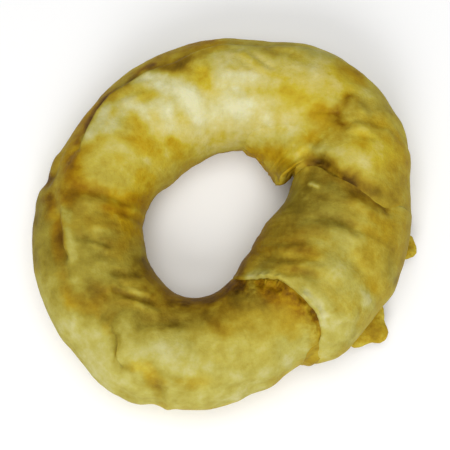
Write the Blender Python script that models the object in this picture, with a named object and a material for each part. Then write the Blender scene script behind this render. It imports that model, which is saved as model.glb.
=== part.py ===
"""A doughnut-shaped chew: one hide rolled into a thick tube, bent round into a ring and joined under a cuff of hide.

Units are metres and +Z is up. The ring lies flat on its underside, and the origin is on the floor under its middle.
A place on it is given by two angles in degrees. `around` runs round the ring as seen from above, from +X towards +Y.
`over` runs round the roll itself: 0 is its outer side, 90 the top, 180 the side of the hole and 270 the underside.
The sizes below are in millimetres, and MM turns them into metres.
"""

import math

import bmesh
import bpy

MM = 0.001

# The middle of the ring, which the angles turn about, as seen from the middle of the whole piece.
RING_MIDDLE = (-2.55, -1.66)

# Eye's outline of the ring every 15 degrees: distance from the ring's middle to the hole and to the outside,
# and the height of the top. Over the joint this is the outline of the cuff.
STEP_AROUND = 15.0
HOLE_RADIUS = (
    11.7, 15.7, 20.2, 24.4, 21.8, 19.7, 18.2, 16.6, 15.5, 15.2, 16.3, 16.8,
    17.4, 17.6, 18.2, 18.5, 19.1, 18.2, 16.3, 13.9, 12.9, 10.9, 10.1, 10.5,
)
OUTER_RADIUS = (
    45.8, 47.2, 50.8, 51.4, 50.4, 47.4, 46.6, 44.8, 43.7, 42.2, 41.2, 42.1,
    43.3, 43.9, 44.3, 44.7, 46.1, 44.3, 43.1, 40.4, 38.2, 40.0, 42.9, 44.7,
)
TOP_HEIGHT = (
    28.5, 28.0, 27.5, 26.5, 26.0, 25.5, 25.5, 25.0, 24.5, 24.5, 24.5, 24.5,
    24.5, 25.0, 25.0, 25.0, 25.5, 25.5, 25.5, 25.5, 26.0, 27.5, 29.0, 29.0,
)
UNDERCUT = 0.9  # how far the round underside would reach below the floor, which flattens it

# The rolled hide ends in a free edge along the outer side: its place, and the height of its step.
EDGE_OVER = (
    5, 5, 15, 30, 40, 48, 51, 62, 50, 38, 54, 59,
    65, 72, 71, 77, 57, 47, 45, 33, 25, 20, 15, 10,
)
EDGE_STEP = (
    0.0, 0.1, 0.3, 0.4, 0.5, 0.8, 1.1, 1.6, 1.6, 1.6, 1.4, 1.2,
    1.3, 1.5, 1.3, 1.4, 1.2, 1.0, 1.2, 1.2, 0.7, 0.1, 0.0, 0.0,
)
EDGE_FADE = 48.0  # degrees over the top in which the step's height dies away
GROOVE_DEPTH = 0.7  # the hollow just under the free edge
GROOVE_WIDTH = 16.0

# The cuff: a sheet of hide wrapped round the joint, open in a slit low on its outer side.
CUFF_THICKNESS = 1.7
CLEARANCE = 0.3
INNER_TURN_THICKNESS = 1.2
MOUTH_OUTER = 304.5  # where its open lip stands on the outer side ...
MOUTH_HOLE = 296.5  # ... and at the hole
MOUTH_SWEEP = 11.5  # how far it sweeps back over the top
MOUTH_SWEEP_MIDDLE = 78.0
MOUTH_SWEEP_WIDTH = 40.0
MOUTH_FLARE = 0.9
TOP_EDGE_OUTER = 362.0  # its other edge runs slantwise, from here at the outer side ...
TOP_EDGE_HOLE = 391.0  # ... to here at the hole
PINCH = 1.1  # how far that edge is drawn in
SLIT_LIP = -26.0
SLIT_FOOT = -44.0
TUCK_LENGTH = 26.0  # degrees from the lip in which the roll is squeezed in under the cuff
SHOULDER_GAP = 1.6  # degrees past the top edge where it starts to swell out again
SHOULDER_LENGTH = 5.0

# Folds and swellings pressed into the hide: around, over, half length along the ring, half length over the roll
# (degrees), turn of the long axis (degrees), height.
ROLL_FORMS = (
    (22, 75, 9, 30, 0, 0.9),  # shoulder above the cuff
    (35, 136, 4, 14, 15, -2.0),  # pit behind the cuff's corner
    (40, 95, 3.0, 14, -20, -1.2),  # dimple in the top right
    (33, 62, 8, 7, 15, -0.9),
    (37, 122, 4, 20, 10, -0.8),
    (169, 115, 3.2, 45, 0, -1.1),  # fold across the left side
    (194, 100, 7, 6, 30, -0.6),
    (221, 112, 6, 4, 40, -0.9),
    (217, 104, 5, 4, 40, 0.6),
    (236, 118, 7, 4.5, 20, -0.7),
    (250, 70, 14, 22, 0, 0.6),
    (100, 95, 16, 22, 0, 0.5),
    (84, 58, 5, 7, -35, -0.6),
    (112, 175, 9, 16, 0, -0.6),
)
CUFF_FORMS = (
    (336, 118, 3.4, 22, 10, -0.7),
    (322, 132, 3.0, 22, 8, -0.6),
    (330, 92, 4.0, 26, 8, 0.5),
    (348, 60, 8.0, 20, 0, 0.5),
)

# A tongue of rough hide hangs from the cuff's upper corner into the hole.
TONGUE_AROUND = (33.0, 66.0)
TONGUE_OVER = (168.0, 236.0)
TONGUE_THICKNESS = 1.5
TONGUE_HANG = 5.0

# Torn corners of the inner turn stand out of the slit: around, half width along the ring, reach, droop.
TORN_CORNERS = ((327.0, 8.0, 9.5, 2.0), (354.3, 3.8, 8.0, 1.0))
INNER_TURN_START = 300.0
INNER_TURN_END = 359.0
INNER_TURN_TOP = 38.0
STUB_REACH = 1.2

FINE_STEP = 1.9  # degrees between sections of the roll near the cuff's upper edge, and elsewhere
COARSE_STEP = 3.9
FINE_FROM = -8.0
FINE_TO = 46.0
ROLL_POINTS = 30
CUFF_STEPS = 26
CUFF_POINTS = 44
TURN_STEPS = 44
TONGUE_STEPS = 14

HIDE_COLOUR = (0.50, 0.40, 0.09, 1.0)
CUFF_COLOUR = (0.47, 0.38, 0.10, 1.0)
FLESH_COLOUR = (0.42, 0.25, 0.03, 1.0)


def smooth(low, high, x):
    """0 below `low`, 1 above `high`, and an even curve between."""
    t = min(1.0, max(0.0, (x - low) / (high - low)))
    return t * t * (3.0 - 2.0 * t)


def stations(values, around):
    """The value at an angle round the ring, on a smooth closed curve through the values given every 15 degrees."""
    place = (around % 360.0) / STEP_AROUND
    i = int(place)
    t = place - i
    a, b, c, d = (values[(i + k) % len(values)] for k in (-1, 0, 1, 2))
    return 0.5 * (2 * b + (c - a) * t + (2 * a - 5 * b + 4 * c - d) * t**2 + (3 * b - a - 3 * c + d) * t**3)


def turn_between(a, b):
    """The signed angle from b to a, between -180 and 180 degrees."""
    return (a - b + 180.0) % 360.0 - 180.0


def forms_at(forms, around, over):
    """The summed height in millimetres of the folds and swellings at one place."""
    height = 0.0
    for form_around, form_over, length, breadth, turn, rise in forms:
        along = turn_between(around, form_around)
        across = turn_between(over, form_over)
        if abs(along) > 40.0 or abs(across) > 120.0:
            continue
        c, s = math.cos(math.radians(turn)), math.sin(math.radians(turn))
        u = (along * c + across * s) / length
        v = (across * c - along * s) / breadth
        height += rise * math.exp(-u * u - v * v)
    return height


def mouth_at(over):
    """Where the cuff's lip stands: it sweeps back over the top of the roll."""
    off = turn_between(over, MOUTH_SWEEP_MIDDLE) / MOUTH_SWEEP_WIDTH
    turned = over % 360.0
    share = smooth(70.0, 130.0, turned) * (1.0 - smooth(230.0, 300.0, turned))
    return MOUTH_OUTER + (MOUTH_HOLE - MOUTH_OUTER) * share + MOUTH_SWEEP * math.exp(-(off**4))


def top_edge_at(over):
    """Where the cuff's slanting upper edge stands."""
    turned = over % 360.0
    share = smooth(60.0, 150.0, turned) * (1.0 - smooth(205.0, 300.0, turned))
    return TOP_EDGE_OUTER + (TOP_EDGE_HOLE - TOP_EDGE_OUTER) * share


def joint_angle(around):
    """`around` counted on from the mouth, so that it runs on past 360 over the joint."""
    return around + 360.0 if around < 180.0 else around


def cover_at(around, over):
    """What lies over the roll inside the cuff: the inner turn is there on the outer side only."""
    low = turn_between(over, 0.0)
    inner = smooth(-78.0, -66.0, low) * (1.0 - smooth(INNER_TURN_TOP + 8.0, INNER_TURN_TOP + 24.0, low))
    inner *= 1.0 - smooth(INNER_TURN_END + 0.6, INNER_TURN_END + 3.0, joint_angle(around))
    return CUFF_THICKNESS + CLEARANCE + inner * (INNER_TURN_THICKNESS + CLEARANCE)


def tuck_at(around, over):
    """How much of the cuff's thickness the roll gives way by: 0 at the mouth, 1 at the top edge, 0 past it."""
    from_mouth = joint_angle(around) - mouth_at(over)
    past_top = (joint_angle(around) - top_edge_at(over)) / (0.45 + 0.55 * smooth(15.0, 60.0, over % 360.0))
    return smooth(0.0, TUCK_LENGTH, from_mouth) * (1.0 - smooth(SHOULDER_GAP, SHOULDER_GAP + SHOULDER_LENGTH, past_top))


def bed_at(around):
    """How far the roll is held off the floor by the cuff under it."""
    place = joint_angle(around)
    raised = smooth(284.0, 297.0, place) * (1.0 - smooth(388.0, 400.0, place))
    return (CUFF_THICKNESS + CLEARANCE) * raised


def step_height(around, over):
    """The free edge of the rolled hide: high just above the edge, and a hollow just below it."""
    past = (over - stations(EDGE_OVER, around)) % 360.0
    step = stations(EDGE_STEP, around)
    if past < 180.0:
        return step * math.exp(-past / EDGE_FADE)
    return -GROOVE_DEPTH * step / max(EDGE_STEP) * math.exp((past - 360.0) / GROOVE_WIDTH)


def place_on_roll(around, over, offset, bed):
    """A point at `offset` millimetres out from the ring's outline, and never below the height `bed`."""
    hole, outer = stations(HOLE_RADIUS, around), stations(OUTER_RADIUS, around)
    top = stations(TOP_HEIGHT, around)
    half_width = (outer - hole) / 2.0
    half_height = (top + UNDERCUT) / 2.0
    turn, lean = math.radians(around), math.radians(over)
    reach = (outer + hole) / 2.0 + (half_width + offset) * math.cos(lean)
    height = half_height - UNDERCUT + (half_height + offset) * math.sin(lean)
    return (
        (RING_MIDDLE[0] + reach * math.cos(turn)) * MM,
        (RING_MIDDLE[1] + reach * math.sin(turn)) * MM,
        max(height, bed) * MM,
    )


def roll_point(around, over):
    """A point of the rolled hide's surface."""
    offset = step_height(around, over) + forms_at(ROLL_FORMS, around, over)
    offset -= cover_at(around, over) * tuck_at(around, over)
    return place_on_roll(around, over, offset, bed_at(around))


def cuff_point(share, over, depth):
    """A point of the cuff, `share` of the way from its mouth to its top edge, `depth` in from its outer face."""
    mouth, top_edge = mouth_at(over), top_edge_at(over)
    around = mouth + (top_edge - mouth) * share
    step = forms_at(ROLL_FORMS, around, over) + max(0.0, step_height(around, over))
    bare = step + cover_at(around, over) * (1.0 - tuck_at(around, over))
    flare = MOUTH_FLARE * (1.0 - smooth(0.0, 0.22, share)) * smooth(15.0, 55.0, over) * (1.0 - smooth(95.0, 150.0, over))
    drawn_in = PINCH * smooth(0.84, 1.0, share)
    relief = forms_at(CUFF_FORMS, around, over) * smooth(0.0, 0.2, share) * (1.0 - smooth(0.7, 1.0, share))
    outer = bare + flare + max(relief, 0.0)
    thin = min(drawn_in, CUFF_THICKNESS * 0.55)
    depth_here = depth * (CUFF_THICKNESS - thin)
    return place_on_roll(around % 360.0, over, outer - thin - depth_here, CUFF_THICKNESS * depth)


def turn_point(around, over, depth):
    """A point of the inner turn, which lies on the roll under the cuff. `depth` is 0 outside and 1 inside."""
    gap = CLEARANCE + INNER_TURN_THICKNESS * (1.0 - depth)
    offset = step_height(around, over) + forms_at(ROLL_FORMS, around, over)
    offset -= cover_at(around, over) * tuck_at(around, over)
    return place_on_roll(around, over, offset + gap, bed_at(around) + gap)


def skin(rows, closed_rows, closed_columns):
    """A mesh of quads between neighbouring rows of points."""
    bm = bmesh.new()
    grid = [[bm.verts.new(point) for point in row] for row in rows]
    count, width = len(grid), len(grid[0])
    for i in range(count if closed_rows else count - 1):
        for j in range(width if closed_columns else width - 1):
            i2, j2 = (i + 1) % count, (j + 1) % width
            bm.faces.new((grid[i][j], grid[i2][j], grid[i2][j2], grid[i][j2]))
    return bm


def finish_solid(name, bm, colour, roughness):
    """One object of its own with its material, from a closed mesh whose faces are made to point outwards."""
    bmesh.ops.recalc_face_normals(bm, faces=bm.faces)
    if bm.calc_volume(signed=True) < 0.0:
        bmesh.ops.reverse_faces(bm, faces=bm.faces)
    mesh = bpy.data.meshes.new(name)
    bm.to_mesh(mesh)
    bm.free()
    mesh.shade_smooth()
    material = bpy.data.materials.new(name + "_hide")
    material.use_nodes = True
    shader = material.node_tree.nodes["Principled BSDF"]
    shader.inputs["Base Color"].default_value = colour
    shader.inputs["Roughness"].default_value = roughness
    mesh.materials.append(material)
    solid = bpy.data.objects.new(name, mesh)
    bpy.context.scene.collection.objects.link(solid)
    return solid


def sheet_rows(outer_rows, inner_rows):
    """Closed rows round a sheet: along its outer face and back along its inner face."""
    return [outer + inner[::-1] for outer, inner in zip(outer_rows, inner_rows)]


def sheet_solid(name, outer_rows, inner_rows, colour, roughness):
    """A closed sheet of hide between two faces."""
    rows = sheet_rows(outer_rows, inner_rows)
    bm = skin(rows, closed_rows=False, closed_columns=True)
    bm.verts.ensure_lookup_table()
    width = len(outer_rows[0])
    for first in (0, (len(rows) - 1) * 2 * width):
        for j in range(width - 1):
            a, b = bm.verts[first + j], bm.verts[first + j + 1]
            c, d = bm.verts[first + 2 * width - 2 - j], bm.verts[first + 2 * width - 1 - j]
            bm.faces.new((a, b, c, d))
    return finish_solid(name, bm, colour, roughness)


def make_rolled_ring():
    """The rolled hide: a closed ring whose section has the step of the free edge. Under the cuff it is left whole."""
    just_above, just_below = 3.0, 357.5
    fine = round((FINE_TO - FINE_FROM) / FINE_STEP)
    coarse = round((360.0 + FINE_FROM - FINE_TO) / COARSE_STEP)
    places = [FINE_FROM + (FINE_TO - FINE_FROM) * i / fine for i in range(fine)]
    places += [FINE_TO + (360.0 + FINE_FROM - FINE_TO) * i / coarse for i in range(coarse)]
    rows = []
    for around in places:
        edge = stations(EDGE_OVER, around)
        turns = [just_above + (just_below - just_above) * k / (ROLL_POINTS - 1) for k in range(ROLL_POINTS)]
        rows.append([roll_point(around, edge + turn) for turn in turns])
    bm = skin(rows, closed_rows=True, closed_columns=True)
    return finish_solid("rolled_ring", bm, HIDE_COLOUR, 0.5)


def make_cuff():
    """The cuff: a sheet from the slit's upper lip over the top, down through the hole and back under the roll."""
    overs = [SLIT_LIP + (360.0 + SLIT_FOOT - SLIT_LIP) * k / (CUFF_POINTS - 1) for k in range(CUFF_POINTS)]
    shares = [i / (CUFF_STEPS - 1) for i in range(CUFF_STEPS)]
    outer = [[cuff_point(share, over, 0.0) for over in overs] for share in shares]
    inner = [[cuff_point(share, over, 1.0) for over in overs] for share in shares]
    return sheet_solid("cuff", outer, inner, CUFF_COLOUR, 0.5)


def corner_reach(around):
    """How far the inner turn stands out of the slit at one place, and how much it droops there."""
    reach, droop = STUB_REACH, 0.0
    for middle, half_width, length, sag in TORN_CORNERS:
        share = math.exp(-(((around - middle) / half_width) ** 4))
        reach += (length - STUB_REACH) * share
        droop += sag * share
    return reach, droop


def make_inner_turn():
    """The wrap's inner turn: a strip at the mouth, and two torn corners that stand out of the slit."""
    rim = (SLIT_LIP + SLIT_FOOT) / 2.0
    outer, inner = [], []
    for i in range(TURN_STEPS):
        around = INNER_TURN_START + (INNER_TURN_END - INNER_TURN_START) * i / (TURN_STEPS - 1)
        reach, droop = corner_reach(around)
        rows = []
        for depth in (0.0, 1.0):
            root = turn_point(around, rim, depth)
            row = []
            for k in (3, 2, 1):
                out = reach * k / 3.0
                fall = droop * (k / 3.0) ** 2
                turn = math.radians(around)
                row.append((
                    root[0] + out * math.cos(turn) * MM,
                    root[1] + out * math.sin(turn) * MM,
                    root[2] - fall * MM,
                ))
            count = 8
            row += [turn_point(around, rim + (INNER_TURN_TOP - rim) * k / (count - 1), depth) for k in range(count)]
            rows.append(row)
        outer.append(rows[0])
        inner.append(rows[1])
    return sheet_solid("inner_turn", outer, inner, FLESH_COLOUR, 0.7)


def make_hole_tongue():
    """The rough tongue in the hole: it lies on the roll above, and its lower part hangs free."""
    outer, inner = [], []
    low_around, high_around = TONGUE_AROUND
    low_over, high_over = TONGUE_OVER
    for i in range(TONGUE_STEPS):
        share = i / (TONGUE_STEPS - 1)
        around = low_around + (high_around - low_around) * share
        length = min(1.0, 0.6 + 2.0 * share) * (1.0 - 0.85 * smooth(0.5, 1.0, share))
        rows = []
        for depth in (0.0, 1.0):
            row = []
            for k in range(8):
                over = low_over + (high_over - low_over) * length * k / 7.0
                lift = TONGUE_HANG * length * (k / 7.0) ** 1.6
                offset = step_height(around, over) + forms_at(ROLL_FORMS, around, over)
                offset += CLEARANCE + lift + TONGUE_THICKNESS * (1.0 - depth)
                row.append(place_on_roll(around, over, offset, 0.0))
            rows.append(row)
        outer.append(rows[0])
        inner.append(rows[1])
    return sheet_solid("hole_tongue", outer, inner, FLESH_COLOUR, 0.7)


def main():
    for old in list(bpy.data.objects):
        bpy.data.objects.remove(old, do_unlink=True)
    make_rolled_ring()
    make_cuff()
    make_inner_turn()
    make_hole_tongue()


main()
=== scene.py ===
"""The looks of a doughnut-shaped dog's chew: hide rolled into a thick tube, bent round into a ring, and
joined under a cuff of the same hide.

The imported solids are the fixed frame. Each is replaced by a piece of the same form that carries the
hide's folds, free edge, torn bits and colours. A place on the ring is given by two angles in degrees.
`around` runs round the ring as seen from above, from +X towards +Y. `over` runs round the roll: 0 on its
outer side, 90 on top, 180 in the hole and 270 below. Lengths are in millimetres until a mesh or a
material is made, when MM turns them into metres.
"""

import math
import random

import bpy
import numpy as np
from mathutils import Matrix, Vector, noise

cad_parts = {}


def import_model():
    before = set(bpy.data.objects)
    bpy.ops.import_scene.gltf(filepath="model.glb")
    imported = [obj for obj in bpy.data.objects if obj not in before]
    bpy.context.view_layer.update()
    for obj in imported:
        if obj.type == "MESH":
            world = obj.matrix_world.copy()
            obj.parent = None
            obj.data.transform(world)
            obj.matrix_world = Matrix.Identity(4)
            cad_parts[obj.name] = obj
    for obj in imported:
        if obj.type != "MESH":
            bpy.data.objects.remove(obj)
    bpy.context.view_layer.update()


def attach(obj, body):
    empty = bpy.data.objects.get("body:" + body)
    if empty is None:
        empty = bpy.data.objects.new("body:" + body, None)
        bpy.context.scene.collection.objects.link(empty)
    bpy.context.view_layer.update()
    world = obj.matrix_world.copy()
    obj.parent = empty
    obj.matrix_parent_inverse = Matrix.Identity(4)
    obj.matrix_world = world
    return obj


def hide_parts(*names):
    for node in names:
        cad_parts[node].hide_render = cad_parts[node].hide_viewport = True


MM = 0.001

# ---- The ring's build, the same as the solids' ----------------------------------------------------

RING_MIDDLE = (-2.55, -1.66)
STEP_AROUND = 15.0  # degrees round the ring from each value of the next three lists to its next
HOLE_RADIUS = (
    11.7, 15.7, 20.2, 24.4, 21.8, 19.7, 18.2, 16.6, 15.5, 15.2, 16.3, 16.8,
    17.4, 17.6, 18.2, 18.5, 19.1, 18.2, 16.3, 13.9, 12.9, 10.9, 10.1, 10.5,
)
OUTER_RADIUS = (
    45.8, 47.2, 50.8, 51.4, 50.4, 47.4, 46.6, 44.8, 43.7, 42.2, 41.2, 42.1,
    43.3, 43.9, 44.3, 44.7, 46.1, 44.3, 43.1, 40.4, 38.2, 40.0, 42.9, 44.7,
)
TOP_HEIGHT = (
    28.5, 28.0, 27.5, 26.5, 26.0, 25.5, 25.5, 25.0, 24.5, 24.5, 24.5, 24.5,
    24.5, 25.0, 25.0, 25.0, 25.5, 25.5, 25.5, 25.5, 26.0, 27.5, 29.0, 29.0,
)
UNDERCUT = 0.9  # how far the round underside would reach below the floor, which flattens it
DEGREES_PER_MM = 4.3  # over the roll, whose radius is about 13.3 mm
MM_PER_DEGREE = 0.235  # over the roll, as its wrinkles count it

# The sheet's free edge: angle round the ring, angle over the roll, height of its step, and how sharply
# it is cut.
FREE_EDGE = (
    (0, 5, 0.0, 0.0), (15, 5, 0.1, 0.0), (30, 15, 0.3, 0.0), (45, 30, 0.4, 0.2), (60, 40, 0.5, 0.3),
    (75, 48, 0.8, 0.5), (90, 51, 1.0, 0.5), (105, 60, 1.2, 0.5), (115, 58, 1.4, 0.8),
    (122, 57, 1.4, 0.9), (127, 54.5, 1.4, 1.0), (132, 51.5, 1.5, 1.0), (137.5, 52.5, 1.5, 1.0),
    (143.5, 55.5, 1.4, 1.0), (150, 59, 1.2, 0.9), (156, 60, 0.7, 0.3), (161, 57, 0.5, 0.1),
    (167, 57, 0.5, 0.1), (172.5, 60, 0.6, 0.1), (176.5, 65, 0.8, 0.4), (183.5, 70, 1.0, 0.7),
    (188.5, 70.5, 1.0, 0.7), (194.5, 72, 1.0, 0.7), (200, 71, 0.8, 0.4), (203.5, 73, 0.7, 0.2),
    (207.5, 72, 0.5, 0.0), (215, 76, 0.4, 0.0), (225, 77, 0.5, 0.1), (230, 76.5, 0.8, 0.8),
    (233, 74, 1.0, 1.0), (235, 70, 1.0, 1.0), (236, 62, 0.9, 1.0), (239, 55, 0.6, 0.5),
    (242, 55, 0.5, 0.1), (251, 48, 0.5, 0.0), (258.5, 48.5, 0.6, 0.1), (267.5, 50.5, 0.6, 0.1),
    (278, 41.5, 0.7, 0.2), (285.5, 30.5, 0.6, 0.2), (290.5, 24.5, 0.5, 0.2), (296.5, 18, 0.4, 0.1),
    (301, 14, 0.2, 0.0), (320, 15, 0.0, 0.0), (345, 10, 0.0, 0.0),
)
EDGE_FADE = 48.0  # degrees over the top in which the step's height dies away
GROOVE_SHARE = 0.44  # depth of the hollow just under the free edge, as a share of the step
GROOVE_WIDTH = 16.0  # degrees in which that hollow dies away

# ---- The cuff's build ------------------------------------------------------------------------------

CUFF_THICKNESS = 1.7
INNER_TURN_THICKNESS = 1.2
CLEARANCE = 0.3  # between one sheet and the next
OVER_START = -60.0  # where the next tables start to count `over`, just below the slit
TOP_RISE, TOP_FALL = (52.0, 64.0), (112.0, 123.0)  # `over` where the cuff's top begins and ends
OUTER_SIDE = (46.0, 66.0)  # `over` across which the outer side gives way to the top
HOLE_SIDE = (114.0, 142.0)  # `over` across which the top gives way to the side of the hole
# The cuff's lip at the mouth: angle over the roll, and angle round the ring.
MOUTH = (
    (-60, 304.5), (-8, 305.4), (17, 306.8), (33, 308.9), (40, 310.5), (48, 311.9), (55, 312.7),
    (62, 313.3), (70, 313.4), (80, 313.1), (92, 313.0), (99, 312.0), (105, 310.4), (113, 306.6),
    (123, 301.3), (129, 298.8), (134.5, 296.0), (142, 291.5), (150, 288.5), (158, 286.5),
    (170, 286.5), (195, 290.0), (225, 295.5), (260, 299.5), (300, 304.5),
)
# Where the lip stands off the roll: angle over the roll, half width in degrees, and height.
LIP_GAPS = (
    (120.0, 2.4, 0.5), (113.5, 3.0, 0.6), (105.5, 2.4, 0.8), (101.0, 2.0, 0.5), (81.0, 3.6, 1.0),
    (66.5, 3.0, 0.7),
)
LIP_LIFT = 0.15  # how far all of the lip stands off over the top
LIP_SHARE, GAP_SHARE = 0.20, 0.08  # shares of the cuff's length in which the lip and its gaps die away
HEM_PLACE, HEM_WIDTH = 0.09, 0.07  # of the thick hem behind the lip, and its half width, as such shares
HEM_HEIGHT = 0.12  # how much thicker the hem is
# The cuff's slanting upper edge: angle over the roll, and angle round the ring.
TOP_EDGE = (
    (-60, 362), (30, 363), (42, 363.5), (53, 363.5), (63, 364.5), (71.5, 367), (80.5, 370),
    (89, 372.4), (98, 374.8), (106, 377.2), (113.5, 380.2), (121.5, 383.7), (131, 387.0),
    (140.5, 389.4), (149.5, 390.9), (158, 391.0), (170, 389), (200, 388), (250, 376), (300, 362),
)
PINCH = 1.1  # how far that edge is drawn in
PINCH_RISE, PINCH_FALL = (25.0, 55.0), (130.0, 144.0)  # `over` where it starts and stops being drawn in
PINCH_SHARE = 0.84  # the share of the cuff's length from which it is drawn in
SLIT_LIP, SLIT_FOOT = -26.0, -44.0  # `over` of the slit's upper side and of its lower side
INNER_TURN_FOOT = (-78.0, -66.0)  # `over` where the inner turn ends under the ring
INNER_TURN_TOP = 38.0  # `over` where it ends on the outer side
INNER_TURN_END = 359.0  # `around` where it ends
TUCK_START = 296.5  # the least `around` at which the roll starts to give way under the cuff
TUCK_LENGTH = 26.0  # degrees from the lip in which it has given way
# Past the cuff's upper edge the roll swells up again: angle over the roll, how far past the edge that
# begins, and over how many degrees it comes up.
SHOULDER = (
    (0, -4.6, 3.2), (45, -5.6, 6.0), (60, -4.9, 8.0), (75, -4.4, 8.0), (98, -3.6, 7.0),
    (106, 0.0, 4.5), (122, 0.0, 4.5), (130, -1.6, 4.5), (137, -3.0, 4.5), (150, -3.6, 5.0),
    (170, -4.2, 5.0), (360, -4.6, 3.2),
)
# `around` where the roll starts to lie on the cuff's underside, and where it comes off it.
BED_RISE, BED_FALL = (284.0, 297.0), (388.0, 400.0)

# Large swellings and hollows, as in the solids: around, over, half length along the ring, half length
# over the roll (degrees), turn of the long axis (degrees), height.
ROLL_FORMS = (
    (22, 75, 9, 30, 0, 0.9),  # shoulder above the cuff
    (31.5, 188, 2.6, 28, 0, -1.6),  # notch beside the tongue
    (27.3, 124, 2.6, 13, -20, -1.3),  # pit behind the cuff's corner
    (32.5, 146, 2.4, 13, 0, 1.7),  # swelling between the pit and the tongue
    (40, 95, 3.0, 14, -20, -1.2),  # dimple in the top right
    (33, 62, 8, 7, 15, -0.9),
    (37, 122, 4, 20, 10, -0.8),
    (169, 115, 3.2, 45, 0, -0.7),  # fold across the left side
    (194, 100, 7, 6, 30, -0.6),
    (221, 112, 6, 4, 40, -0.5),
    (236, 118, 7, 4.5, 20, -0.4),
    (250, 70, 14, 22, 0, 0.6),
    (100, 95, 16, 22, 0, 0.5),
    (84, 58, 5, 7, -35, -0.6),
    (112, 175, 9, 16, 0, -0.6),
    (19, 5, 6, 40, 0, 0.8),  # the uneven outer side
    (33.5, 5, 4, 40, 0, -0.7),
    (137, 5, 4, 40, 0, -0.25),
    (164, 8, 4, 35, 0, -0.8),
    (246, 0, 3, 40, 0, 0.4),
    (251, 0, 2.5, 40, 0, -0.5),
    (255.5, 5, 1.6, 40, 0, 0.6),
    (273, 0, 6, 40, 0, -0.4),
    (289, 0, 4, 40, 0, 0.4),
    (181, 3, 9, 40, 0, -0.3),
    (88, 6, 9, 40, 0, -0.3),
    (262, 5, 5, 40, 0, -0.1),
    (281.5, 0, 4, 40, 0, -0.4),
    (217, 3, 4, 40, 0, 0.25),
)
CUFF_FORMS = (
    (336, 118, 3.4, 22, 10, -0.5),
    (322, 132, 3.0, 22, 8, -0.4),
    (330, 92, 4.0, 26, 8, 0.5),
    (348, 60, 8.0, 20, 0, 0.5),
    (338, 4, 4, 38, 0, 0.4),
    (360, 5, 5.5, 38, 0, 0.2),
    (383, 165, 8, 22, 0, -0.6),
)

# ---- Folds, drawn on the plan as seen from above ---------------------------------------------------
# Each is a line of (x, y) points, its half width, and its height.

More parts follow.
